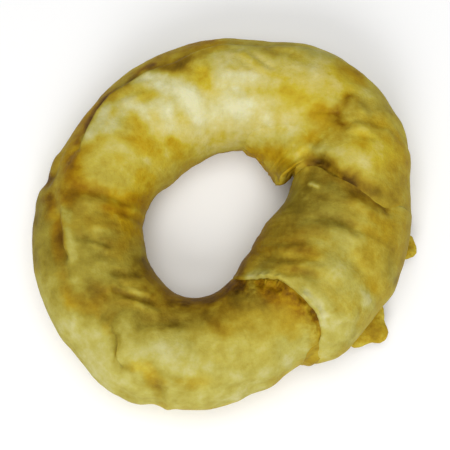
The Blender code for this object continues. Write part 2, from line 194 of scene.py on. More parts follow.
ROLL_FOLDS = (
    # the fold across the left side
    (((-36.25, 3.75), (-30, 3.5), (-24.5, 2.25)), 1.5, -0.45),
    (((-24.5, 2.25), (-18.75, 2.75)), 1.5, -0.3),
    # a second fold beside it
    (((-28.75, -1.25), (-24, -0.75), (-20.25, -1.5)), 0.9, -0.4),
    # a swelling between them
    (((-33, 0.5), (-26.75, 0.25)), 1.4, 0.35),
    # a knob at the free edge
    (((-36.75, -1.25), (-36.25, -3.25)), 1.1, 0.3),
    # fine folds below it
    (((-33, -5.75), (-26, -4.25)), 0.9, 0.3),
    (((-34, -7.75), (-29.25, -8), (-26.75, -9.25)), 0.8, -0.35),
    (((-30.75, -9), (-27.25, -10.25)), 0.8, 0.3),
    # wrinkles at the lower left of the hole
    (((-24.25, -19.25), (-21.25, -19.5), (-17.75, -20.75)), 0.7, 0.45),
    (((-25.25, -19.5), (-23.25, -20.25), (-20.25, -21.25), (-16.75, -21.75)), 0.8, -0.8),
    (((-25.25, -15.5), (-20.25, -15)), 1.1, -0.6),
    (((-28.5, -13.25), (-25, -14.5)), 1.0, 0.3),
    (((-20.25, -22.5), (-15.75, -24.5)), 0.8, 0.5),
    (((-23.25, -22), (-20.5, -22)), 0.6, 0.3),
    (((-18.75, -27), (-13.75, -26.5), (-10.75, -26.75)), 1.3, -0.6),
    (((-27.25, -20.25), (-25.5, -21)), 0.9, -0.4),
    # a shallow hollow on the lower side
    (((-6.75, -31.75), (-2.5, -33.75)), 1.8, -0.25),
    (((-13.25, -33.75), (-12, -38.5)), 2.2, 0.25),
    # the hook of the free edge
    (((-25.25, -29.25), (-24, -30.25), (-23.75, -32.25), (-24.5, -33.5)), 0.6, 0.45),
    (((-25.5, -30.5), (-25.25, -32.25)), 0.6, -0.4),
    # a dent at the top
    (((-5.75, 31.5), (-5.75, 27.75)), 1.7, -0.5),
    # pinches at the top
    (((3.75, 36.75), (6, 34.75), (8.5, 32.5)), 0.6, 0.35),
    (((5.5, 37.25), (8.25, 34.75), (10.5, 33)), 0.6, -0.4),
    (((2.25, 35.75), (5.5, 32.75)), 0.6, -0.25),
    (((9.75, 39.25), (11.5, 37.5), (14.75, 37.5)), 1.0, -0.4),
    # fine ridges by the free edge
    (((-26.75, 26.25), (-23, 28.25), (-18.75, 29.25)), 0.5, 0.3),
    (((-25.25, 25.25), (-21.25, 27), (-17.25, 27.75)), 0.6, -0.2),
    (((-23.5, 24.25), (-19, 26.25)), 0.5, 0.2),
    # swellings at the top
    (((-10, 25), (-7.25, 22.5)), 3.0, 0.25),
    (((2.25, 30.25), (2.25, 26.25)), 3.0, 0.3),
    (((16.25, 35.75), (19, 34.25)), 1.2, -0.3),
    # the forked crease at the upper right
    (((28.75, 27), (26.75, 24.75), (26, 22), (26.25, 19.75), (27.5, 18)), 0.8, -0.8),
    (((21, 22.25), (23.25, 22.5), (25.5, 22.25)), 0.8, -0.4),
    (((21.25, 20.75), (24.75, 19.75)), 2.4, -0.4),
    (((27.75, 24.75), (27.75, 21.75), (29, 19), (31.5, 17.5)), 1.1, 0.5),
    (((28.25, 19.25), (33, 19.5), (37.25, 18.5), (39.75, 16.5)), 0.9, -0.4),
    (((30.25, 22.25), (35, 22.25), (38.5, 22)), 1.4, 0.3),
    (((28.25, 17.25), (31.75, 16.5)), 0.8, 0.3),
    (((27, 16.5), (29.5, 15.75), (33.25, 15)), 0.8, -0.3),
    (((38.5, 21.5), (41, 18.25), (42.75, 15.75)), 0.8, -0.35),
    (((26.5, 34.25), (29.75, 30.5), (33, 29.5)), 1.4, -0.35),
    # the shoulder that swells over the cuff
    (((24.5, 10.5), (28, 11.5), (32.5, 8.75)), 3.2, 0.6),
    (((27.75, 7.75), (32, 5.5), (36.25, 3.5)), 1.8, 0.4),
    (((18.5, 14.5), (22.5, 12.75)), 1.3, 0.4),
    (((19, 11.75), (21, 10.25), (23.5, 8.5)), 1.3, -0.7),
    # the notch at the bottom
    (((-17, -38.25), (-15.75, -40.25), (-14.5, -43), (-14.25, -44.25)), 1.0, -0.4),
    # the rim at the bottom
    (((-5, -43), (3, -42)), 1.0, 0.3),
    (((-24.5, -41.25), (-20.5, -43)), 0.6, -0.5),
    # beside the free edge at the left
    (((-40.5, 4.25), (-40, 1.75)), 1.2, -0.4),
    (((-38.5, -5.25), (-38.25, -8.75), (-37, -11.5)), 1.3, -0.5),
    (((-40.25, 14), (-41.75, 10.25)), 1.3, 0.5),
    (((-38.75, 14.5), (-39.75, 12), (-40.75, 8.75), (-42.25, 6.5)), 0.8, -0.5),
    (((-44, 6), (-44.75, 3.25)), 1.5, 0.4),
    # pits under the cuff's lip
    (((7, -17.75), (7.75, -18.25)), 0.7, -0.8),
    (((9.5, -18.5), (11.25, -19.5)), 0.7, -0.8),
    (((16.25, -21.5), (17.25, -22.5)), 0.6, -0.8),
    (((18.75, -24.5), (20.25, -25.75)), 0.9, -0.9),
    (((19.5, -27), (20.5, -27.25)), 0.5, -0.7),
    (((20.5, -28.25), (20.5, -29.5)), 0.6, -0.4),
)
CUFF_FOLDS = (
    # valleys and ridges that fan out from the hole
    (((17.75, -3.5), (22, -3.75), (26.25, -4.75), (28.75, -6.5)), 1.2, -0.6),
    (((16.5, -6.25), (20.75, -6), (26.25, -7.5), (29.25, -9)), 1.4, 0.4),
    (((9.75, -12), (14, -13), (18, -13), (21, -14.25)), 1.1, -0.6),
    (((12, -10.75), (16.25, -10.25), (20.75, -10.25)), 1.0, 0.35),
    (((12.5, -11.75), (13.5, -12)), 0.6, 0.3),
    (((13.5, -16.5), (15.75, -16.75), (19.25, -17.75)), 0.9, -0.4),
    (((12.25, -14.5), (14.75, -14.75), (18, -15.5)), 0.8, 0.25),
    (((28.25, 3.25), (33.5, 1.25)), 2.0, -0.4),
    (((28.25, 0), (32.75, -2.25)), 1.4, 0.3),
    # swellings on the broad side
    (((22.25, -14.25), (25.75, -17.25)), 3.0, 0.5),
    (((24.75, -8), (27.25, -10.5)), 2.4, 0.35),
    (((30, -21), (31.75, -22.25)), 1.5, 0.4),
    (((26.25, -11.25), (29.5, -14.75), (32.5, -18.75)), 1.4, -0.35),
    (((30.5, -6.75), (32.75, -7.75)), 1.0, -0.3),
    (((35.75, -4.25), (36, -10)), 2.2, -0.2),
    (((39, 1), (40.25, 0.5)), 1.1, 0.4),
    (((35.5, 0.75), (37.25, -1.5)), 1.0, -0.5),
    # the overlap by the lip's corner
    (((22.75, -27.75), (25.5, -27), (28.75, -25.5)), 0.8, 0.25),
    (((22.75, -28.75), (26, -28), (29.5, -26.5)), 0.9, -0.25),
    # the hollow behind the rolled lip
    (((16, -18.75), (19, -21.75), (21.75, -25.5)), 0.9, -0.3),
    # a loose flake
    (((18.75, 5.25), (20.5, 4.25)), 0.6, 0.5),
)

# ---- How pale or dark the hide dried, with painted light and shade, drawn on the plan in the same way ---
# Each is a line of points, its half width, how much paler (or darker, below 0) it is, and how much
# warmer.

ROLL_STAINS_AND_SHADING = (
    # paler, darker, cooler and warmer patches all over the roll
    (((-17.5, 18), (-13.5, 17.5)), 2.2, -0.04, 0),
    (((-37.5, -4.5), (-33, -8.5)), 2.5, -0.05, 0),
    (((-39.5, -0.5), (-39, -2)), 1.2, 0.24, 0),
    (((-41.5, 3.5), (-41, 0.5)), 1.2, -0.09, 0.4),
    (((-37, 2.5), (-36.5, 0)), 1.4, -0.12, 0.4),
    (((-20, -25.5), (-17, -25.5), (-12.5, -25)), 1.8, -0.1, 0),
    (((1.5, -27.5), (8, -27.5)), 2.0, -0.05, 0),
    (((2, -20.5), (5.5, -21.5), (8, -22.5)), 2.0, -0.08, -0.5),
    (((13.5, -23), (16, -24)), 2.2, 0.03, -0.3),
    (((28.5, 23), (29, 20)), 1.8, -0.06, -0.2),
    (((36.5, 20), (38, 18.5)), 1.8, -0.09, -0.2),
    (((32.5, 23.5), (35, 22.5)), 2.0, 0.03, -0.4),
    (((-7, 43), (-3.5, 43.5)), 1.8, -0.1, 0.5),
    (((17, 19), (18.5, 17.5)), 2.0, 0.06, -0.2),
    (((25.5, 23.5), (26, 16)), 2.2, 0.02, -0.5),
    (((-24.5, 19), (-23.5, 17.5)), 1.8, 0.05, -0.5),
    (((8.5, 17.5), (14, 16.5)), 1.8, 0.03, -0.5),
    (((-22.5, -1.5), (-21, -4)), 2.2, -0.06, 0.4),
    (((-19, 8), (-17.5, 6.5)), 1.8, -0.05, 0.4),
    (((-28, -24.5), (-26.5, -25.5)), 1.6, 0.08, 0.5),
    (((-33.5, 25), (-30.5, 27), (-28.5, 29)), 1.3, -0.06, 0.5),
    (((-37, -20.5), (-35, -23)), 1.5, 0, 0.2),
    (((-26.5, 5.5), (-25, 4)), 2.0, 0.07, 0),
    (((-6.5, 32), (-5, 30)), 1.4, 0.08, 0.4),
    (((-26, -10.5), (-23, -12.5)), 2.5, -0.06, 0),
    (((-32, -20), (-30.5, -25.5)), 2.6, -0.06, 0),
    (((10, -22.5), (14, -24)), 2.5, -0.06, 0),
    (((17, -26), (17.5, -27.5)), 1.2, 0.05, 0),
    (((4.5, -30), (4.5, -35.5)), 3.0, 0.06, 0),
    (((-7, -38), (-3.5, -41.5)), 2.5, 0.06, 0),
    (((-19.5, -37), (-17, -38)), 1.8, -0.05, 0.2),
    (((-14.5, -40), (-8.5, -40)), 1.6, -0.09, 0),
    (((20.5, 25.5), (22.5, 20)), 2.5, -0.07, 0),
    (((32, 23), (33.5, 20.5)), 2.2, -0.05, 0),
    (((1, 36), (5, 35)), 1.6, 0.09, 0),
    (((13.5, 31), (19, 29.5)), 2.0, 0.07, 0.1),
    (((-18, 32.5), (-14, 31)), 1.4, 0.08, 0),
    (((17.5, 40.5), (23, 39.5)), 1.6, 0.06, 0),
    (((34.5, 9), (39.5, 11.5)), 3.0, 0.05, 0),
    (((37, 1), (38.5, 0.5)), 1.6, -0.06, 0),
    (((-30, 27), (-25.5, 29.5), (-22, 31.5)), 1.5, 0, -0.6),
    (((-35.5, 22), (-34.5, 29)), 1.8, -0.03, 0.4),
    (((-26, -13), (-22, -4)), 2.0, 0, 0.3),
    (((36, 21), (39.5, 18.5)), 2.0, 0, 0.4),
    (((-37, -21), (-34.5, -24)), 2.0, 0, 0.4),
    # the lower side dried cooler, the top warmer
    (((-34, -28), (-26, -36), (-17, -39.5), (-6, -40.5), (5, -38.5)), 7.5, 0, -0.35),
    (((-21.5, -30.5), (-9, -30.5), (5, -30.5)), 5.5, 0.03, -0.28),
    (((-44.5, 2.5), (-43.5, -5.5), (-41.5, -11.5)), 4.0, -0.05, -0.65),
    (((-41.5, -12), (-39, -21)), 3.0, 0.05, -0.5),
    (((-31, 2.5), (-28.5, -6), (-27.5, -13), (-22, -12.5)), 5.5, 0, -0.35),
    (((-20, 7), (-21, -1)), 2.0, 0.02, 0.5),
    (((-44.5, 11), (-43, 15.5)), 1.8, -0.07, 0),
    (((-5, 22.5), (5.5, 23), (17, 25), (27, 23.5), (31.5, 17)), 6.5, 0, 0.32),
    (((20.5, 30), (25, 29.5)), 3.0, -0.02, 0.4),
    (((-22.5, 20), (-15.5, 18.5)), 4.0, 0, 0.3),
    (((-10, 17), (-6.5, 19.5), (1, 20)), 4.5, 0.05, 0.1),
    (((8.5, 15), (11, 11)), 2.0, -0.04, 0.2),
    (((16, 15.5), (17.5, 16)), 2.2, -0.07, 0.4),
    (((17.5, 13.5), (18.5, 13)), 1.0, 0.04, 0.3),
    (((14.5, 13), (16, 12)), 1.3, 0.14, 0),
    (((26.5, 16.5), (29.5, 14.5)), 2.8, -0.12, 0.3),
    (((27, 6), (29.5, 4.5), (33, 2.5)), 1.6, -0.24, -0.1),
    (((34, 2), (37, 0.5)), 1.4, -0.06, -0.3),
    (((-38, 25.5), (-34.5, 30), (-31, 34)), 2.0, -0.1, 0.1),
    (((5, -17.5), (6, -19)), 1.2, 0.2, -0.6),
    (((26.5, 7.5), (28.5, 6)), 1.4, -0.12, -0.1),
    (((33, 29.5), (37, 24.5), (40, 19)), 2.6, 0.08, -0.3),
    (((-17.5, 32), (-20, 29.5)), 2.2, 0.1, -0.2),
    (((-37.5, -1.5), (-33, -0.5), (-29.5, 1)), 2.4, -0.09, 0),
    (((-38.5, 5.5), (-33, 7)), 2.4, -0.06, 0.1),
    (((-24.5, -6.5), (-21, -8)), 2.2, -0.07, 0),
    (((-24, -26), (-21, -27)), 2.0, -0.04, 0),
    (((-7.5, -20.5), (-4, -21)), 2.0, -0.06, 0),
    (((-33, -13.5), (-32, -20)), 3.0, 0, -0.4),
    # painted light and shade: paler on the top, which faces the light, and darker on the left and on the
    # hole's near side
    (((-18, 16.5), (-12.5, 20.5), (-5, 22), (3, 21.5), (13.5, 19), (19.5, 18.5)), 7.5, 0.1, -0.15),
    (((-5, 37), (4.5, 36.5), (13.5, 34.5), (21, 32)), 5.0, 0.09, -0.1),
    (((-11, 18), (-3, 19), (2, 20)), 4.5, 0.07, -0.2),
    (((22.5, 35), (27.5, 31), (32.5, 26.5)), 1.8, 0.08, 0),
    (((-25, -23), (-17, -25.5), (-6, -26)), 3.6, -0.06, -0.1),
    (((-42, 9.5), (-41.5, 0), (-40.5, -7.5)), 4.0, -0.1, -0.1),
    (((-35.5, -2.5), (-33, -8.5), (-30.5, -14), (-27, -20)), 5.0, -0.1, 0),
    (((-39, -22), (-35, -28), (-30.5, -34), (-25.5, -39)), 4.5, -0.04, -0.2),
    (((2, -24.5), (8, -22), (13, -23.5), (16, -26)), 4.0, -0.08, 0.1),
    # the outer turn at the upper left: a golden brown band, and painted shade where it faces away from
    # the light
    (((-38, 12.5), (-35.5, 19), (-32, 22), (-29.5, 25.5), (-26, 29.5), (-21.5, 34.5),
      (-16, 37.5), (-9, 40.5), (-3, 42)), 1.7, -0.1, 0.2),
    # and painted shade along its edge, in the gap under the free edge
    (((-35, 16), (-34.5, 18), (-33, 19), (-32.5, 21), (-31.5, 23), (-30.5, 25), (-29.5, 26.5),
      (-28.5, 28), (-27, 28.5)), 0.8, -0.2, 0.3),
    (((-23, 31), (-20.5, 34.5), (-17.5, 35.5)), 0.65, -0.22, 0.2),
    (((-17.5, 33), (-14.5, 33.5), (-11.5, 33.5), (-9, 35)), 1.4, -0.28, -0.2),
    (((-11.5, 35), (-6.5, 36.5), (-3.5, 38), (-0.5, 39)), 1.1, -0.18, 0),
    (((-14.5, 32.5), (-8.5, 32.5)), 1.1, -0.12, 0),
    # pale patches at the top
    (((-18.5, 31), (-15.5, 29.5)), 2.0, 0.2, -0.4),
    (((-14.5, 28.5), (-8.5, 27)), 1.8, 0.16, -0.4),
    (((-10, 24.5), (-5, 24), (-1, 24.5), (2.5, 23.5)), 3.3, 0.18, -0.5),
    (((-8.5, 26), (-7, 20.5)), 1.6, 0.08, -0.3),
    (((-1, 31.5), (3, 30.5)), 2.4, 0.2, -0.3),
    (((-23, 24), (-19.5, 23)), 1.9, 0.22, -0.6),
    (((-15.5, 24), (-13.5, 19.5)), 1.9, 0.13, -0.5),
    (((-28.5, 23.5), (-30, 20), (-32, 17)), 2.0, 0.24, -0.8),
    (((-27.5, 14), (-24, 13.5)), 2.0, 0.12, -0.3),
    (((-27.5, 18.5), (-24, 21)), 1.4, 0.1, -0.4),
    (((-18.5, 20.5), (-17.5, 18)), 1.2, 0.1, -0.3),
    (((3.5, 26), (3, 23.5)), 2.0, 0.02, -0.4),
    (((2.5, 20.5), (3.5, 19.5)), 2.0, -0.05, 0),
    (((6.5, 25), (10.5, 24.5), (9.5, 22)), 1.8, 0.13, -0.3),
    (((9, 21.5), (10, 20.5)), 0.8, 0.12, -0.2),
    (((14, 20.5), (15, 19)), 1.1, 0.12, -0.2),
    (((6.5, 31), (8.5, 29.5)), 1.5, 0.1, -0.1),
    (((-19, 11.5), (-16.5, 11.5)), 0.9, 0.08, -0.1),
    (((19, 35), (20.5, 29.5)), 2.2, 0.08, -0.4),
    (((24.5, 30.5), (25.5, 28.5)), 1.0, 0.12, -0.2),
    # amber spots at the top
    (((-5.5, 31.5), (-5.5, 28)), 1.8, -0.14, 0.4),
    (((-4, 27.5), (-2.5, 26.5)), 1.2, -0.06, 0.2),
    (((-23.5, 29), (-19.5, 28)), 0.9, -0.08, 0),
    (((-19.5, 26.5), (-16, 27)), 1.2, -0.08, 0.3),
    (((-11, 21.5), (-9, 20.5)), 1.0, -0.12, 0.3),
    (((-22, 21), (-20.5, 19), (-20, 17.5)), 1.8, -0.12, 0.2),
    (((-23, 16), (-18, 14), (-16, 12.5)), 1.8, -0.1, 0.4),
    (((-12.5, 16), (-11, 16)), 0.9, -0.12, 0.3),
    (((-11.5, 14.5), (-9.5, 13.5)), 2.2, -0.12, 0.4),
    (((-31.5, 14.5), (-29, 15.5)), 1.3, -0.08, 0.3),
    (((-35.5, 10), (-34, 13)), 1.6, -0.14, 0.4),
    (((-25, 12), (-24.5, 11.5)), 1.0, -0.08, 0.3),
    (((12, 26), (14.5, 27), (17.5, 26)), 1.2, -0.08, 0.3),
    (((16, 36), (18.5, 34.5)), 1.2, -0.12, 0.2),
    (((1, 32.5), (8, 32), (13.5, 30)), 0.7, -0.06, 0.3),
    (((-3, 18), (-1, 18.5)), 0.9, -0.08, 0.2),
    # olive rim at the top
    (((1, 39.5), (8.5, 39.5), (15.5, 41)), 1.5, -0.02, -0.5),
    (((8.5, 38), (11.5, 37)), 1.0, -0.1, -0.2),
    (((4, 36.5), (6, 35), (7.5, 33.5)), 0.7, -0.08, 0),
    (((18, 39), (24.5, 37.5)), 1.4, 0, -0.6),
    # the upper right: painted shade in the valley there, and a darker rim beyond it
    (((25.5, 33.5), (29, 32), (31.5, 30)), 1.8, -0.1, 0.2),
    (((30.5, 33), (34.5, 28.5), (37.5, 23.5)), 1.6, -0.06, 0.1),
    # the forked crease: painted shade in its valleys, and painted light on a ridge beside them
    (((28, 26), (26.5, 23.5), (25.5, 21.5), (26, 19)), 0.8, -0.22, 0.3),
    (((21.5, 23), (25, 22)), 1.0, -0.14, 0.3),
    (((22, 21), (24, 19.5)), 2.6, -0.13, 0.4),
    (((29, 25.5), (33.5, 24.5), (36, 23)), 1.7, -0.08, -0.1),
    (((27, 19), (28.5, 18)), 0.7, -0.1, 0.1),
    (((28.5, 17.5), (32, 16.5)), 1.0, 0.08, -0.2),
    (((32.5, 19.5), (37, 18.5), (39.5, 17)), 0.9, -0.06, 0),
    (((19.5, 16.5), (21, 15.5)), 1.4, -0.14, 0.5),
    (((20, 14.5), (22, 12.5)), 1.6, 0.06, -0.5),
    # the hole's far side
    (((5.5, 15.5), (9.5, 15.5), (12.5, 14.5), (15, 10.5)), 1.5, -0.14, 0.5),
    (((-5, 15.5), (3, 17.5)), 1.4, -0.04, -0.1),
    # the swelling on the right: painted light where it faces the light, and amber patches beside it
    (((28, 10.5), (31.5, 9.5)), 3.2, 0.12, -0.1),
    (((35, 14.5), (37, 13)), 1.2, 0.06, 0),
    (((36, 10), (40, 12.5)), 3.0, -0.06, 0.3),
    (((36, 3), (40, 6.5)), 2.2, -0.05, -0.1),
    (((29.5, 6.5), (35.5, 3.5)), 1.4, 0.01, 0),
    # painted shade against the cuff's upper edge, in the gap under the roll's shoulder
    (((20, 11), (21, 10.5), (22.5, 9)), 1.4, -0.36, 0),
    (((22, 10.5), (24, 8.5)), 1.2, -0.12, 0),
    (((25, 7), (28.5, 4.5)), 0.9, -0.22, 0),
    # beside the free edge at the left: painted shade in its valleys, painted light on its lit rim, and
    # amber and pale patches
    (((-36, 10.5), (-35.5, 7), (-34.5, 4)), 2.0, -0.14, 0.4),
    (((-38.5, 12.5), (-39.5, 8), (-39.5, 4.5), (-38, 0)), 0.8, 0.08, 0),
    (((-42, 7), (-41.5, 8)), 1.3, -0.2, 0),
    (((-40.5, 3.5), (-40, 1)), 1.3, -0.14, 0.3),
    (((-40.5, -1.5), (-38.5, -2.5)), 1.2, 0.02, 0.5),
    (((-38.5, -5), (-38, -8), (-37.5, -11)), 1.4, -0.08, 0.6),
    (((-37, -1.5), (-36, -3)), 1.3, 0.14, -0.6),
    (((-36, -6), (-35, -9.5), (-34.5, -12.5)), 0.9, 0.18, -0.5),
    # across the left side: a brown fold, with painted shade in its valleys and painted light on the
    # swelling between them
    (((-33, 4), (-30, 3.5), (-26.5, 3), (-22.5, 1.5), (-20, 2.5)), 1.4, -0.09, 0.4),
    (((-27, -0.5), (-24, -0.5), (-21, -1)), 1.1, -0.1, 0.5),
    (((-32, 0.5), (-29, 0)), 1.2, 0.09, 0),
    (((-23, 0), (-21, 0.5)), 0.8, 0.1, 0),
    (((-25, 1), (-21.5, 0)), 2.3, -0.04, 0.5),
    (((-20.5, 3), (-18.5, 4.5)), 1.5, -0.08, 0.3),
    (((-30.5, -4), (-24.5, -3)), 1.5, -0.02, 0.3),
    (((-33, -5), (-26.5, -6)), 0.7, 0.06, 0),
    (((-34, -7.5), (-30.5, -8), (-27.5, -9.5)), 0.8, -0.07, 0),
    (((-29.5, -9), (-27, -10.5)), 0.7, 0.06, 0),
    (((-33, -10.5), (-29.5, -13.5), (-27.5, -15)), 3.0, 0.02, -0.5),
    (((-26.5, -7.5), (-22, -10), (-20, -13.5)), 3.4, -0.06, -0.1),
    (((-34, -17), (-33, -18.5)), 1.1, 0.12, -0.3),
    (((-44.5, 2.5), (-45, -6), (-44.5, -12.5)), 1.5, -0.1, 0.2),
    # the amber patch at the lower left
    (((-41.5, -12.5), (-38, -15.5), (-37, -18.5)), 2.3, -0.08, 0.3),
    (((-36.5, -22), (-33, -22.5), (-29.5, -23.5), (-26.5, -26)), 2.8, -0.11, 0.6),
    (((-30, -21), (-27, -25)), 1.4, -0.06, -0.3),
    (((-38, -25.5), (-34, -26.5), (-30, -28)), 2.0, 0.07, -0.5),
    (((-31, -19), (-27.5, -20.5)), 2.0, -0.06, 0.2),
    # wrinkles at the lower left of the hole: painted shade in their valleys, and painted light on their
    # ridges
    (((-24.5, -19.5), (-23, -20), (-20.5, -21), (-17.5, -22)), 0.7, -0.16, 0),
    (((-24.5, -19), (-21, -19.5), (-18, -21)), 0.6, 0.06, -0.2),
    (((-25.5, -15.5), (-21.5, -15.5)), 1.1, -0.14, 0),
    (((-20, -23), (-16, -24.5)), 0.8, 0.1, 0),
    (((-19, -27), (-13.5, -27), (-11.5, -27)), 1.3, -0.15, 0),
    (((-26, -25.5), (-22.5, -27.5), (-23, -31)), 2.4, 0, -0.9),
    # the hole's near side: a brown stain, and painted shade where the wall faces away from the light
    (((-18.5, -13), (-16.5, -16.5), (-13, -19.5), (-6, -21), (-0.5, -19.5),
      (3, -17.5)), 2.4, -0.26, 0.2),
    (((-17, -21.5), (-13.5, -22), (-10, -22.5)), 1.3, -0.12, 0),
    (((-10, -24), (-1.5, -24.5), (3.5, -22)), 2.6, -0.1, 0),
    (((0.5, -17), (3.5, -17.5)), 1.4, -0.17, 0.2),
    # the flat outer turn at the lower left
    (((-38, -23.5), (-35, -28), (-32, -31.5), (-29, -35)), 4.2, 0.06, -0.8),
    (((-30.5, -34.5), (-26.5, -38), (-21, -41)), 3.0, 0.12, -0.9),
    (((-42, -18), (-39.5, -22.5)), 2.4, -0.04, -0.3),
    # the hook, with painted shade in its curl, and in a valley at the bottom
    (((-27.5, -28.5), (-25.5, -30.5), (-24.5, -32), (-25.5, -33.5)), 1.1, 0.02, 0.4),
    (((-24, -30), (-23.5, -32), (-24.5, -33.5)), 0.5, -0.14, 0.2),
    (((-24.5, -41.5), (-20.5, -43)), 0.6, -0.1, 0),
    # amber beside the free edge
    (((-24, -34.5), (-21, -35.5), (-18, -38), (-16.5, -39.5)), 2.0, 0, 0.5),
    (((-23, -36.5), (-21, -37.5)), 0.6, -0.12, 0.2),
    (((-17, -40), (-15, -41)), 1.2, -0.08, 0),
    (((-15, -42.5), (-14.5, -44)), 1.2, -0.1, 0.2),
    (((-13.5, -40), (-9, -40), (-4.5, -40)), 1.0, -0.04, 0.3),
    # the broad lower side
    (((-20, -33.5), (-16.5, -33.5)), 1.9, 0.12, -0.5),
    (((-13.5, -33.5), (-12, -38.5)), 2.2, 0.12, -0.5),
    (((-10.5, -32), (-7.5, -35.5)), 1.6, 0.08, -0.4),
    (((-4, -37), (3, -39), (9.5, -37.5), (13.5, -35.5)), 1.0, 0.08, -0.3),
    (((-17, -42.5), (-8.5, -43.5), (1, -42.5)), 1.8, 0.06, -0.5),
    (((3, -41.5), (8, -40)), 1.4, 0.08, -0.5),
    (((8, -39), (12.5, -37.5)), 0.8, -0.06, 0),
    (((12.5, -32), (17, -30)), 2.2, 0.06, -0.5),
    (((14, -34), (17, -32)), 1.4, 0.1, -0.6),
    (((-3, -27.5), (-1, -29)), 1.8, -0.08, 0.3),
    # under the cuff's lip: a brown stain, and painted shade in the gap and pits under it
    (((7.5, -18.5), (9, -20), (12, -21.5), (15.5, -23.5)), 2.1, -0.18, 0.7),
    (((7, -18), (8, -18.5)), 0.7, -0.1, 0.3),
    (((9.5, -18), (11, -18.5), (12.5, -19.5)), 0.9, -0.12, 0.3),
    (((13.5, -20), (15.5, -21.5), (17, -22.5)), 0.9, -0.1, 0.3),
    (((19, -24.5), (20, -25.5)), 0.9, -0.24, 0.3),
    (((16.5, -22), (17, -22.5)), 0.6, -0.04, 0.2),
    (((-42.5, 9), (-42.5, 9.5)), 1.5, -0.1, 0.2),
    (((-30.5, 23), (-27, 26), (-23, 26)), 3.0, -0.05, 0),
    (((-7, 40.5), (-3, 41.5)), 2.2, -0.06, 0.3),
    (((-22.5, 15), (-18, 14.5)), 2.2, -0.04, 0),
    (((-28, 3.5), (-21.5, 4.5)), 1.8, -0.04, 0),
    (((-35.5, 15.5), (-36.5, 12.5)), 1.3, 0.03, 0.6),
    (((0, -17), (2, -16)), 1.5, 0, 0.4),
    (((-45.5, 9.5), (-43, 6.5)), 1.5, 0, 0.4),
    (((19.5, -26.5), (20, -26.5)), 0.6, -0.16, 0.4),
    (((20.5, -28), (21, -30)), 0.6, -0.12, 0.2),
)

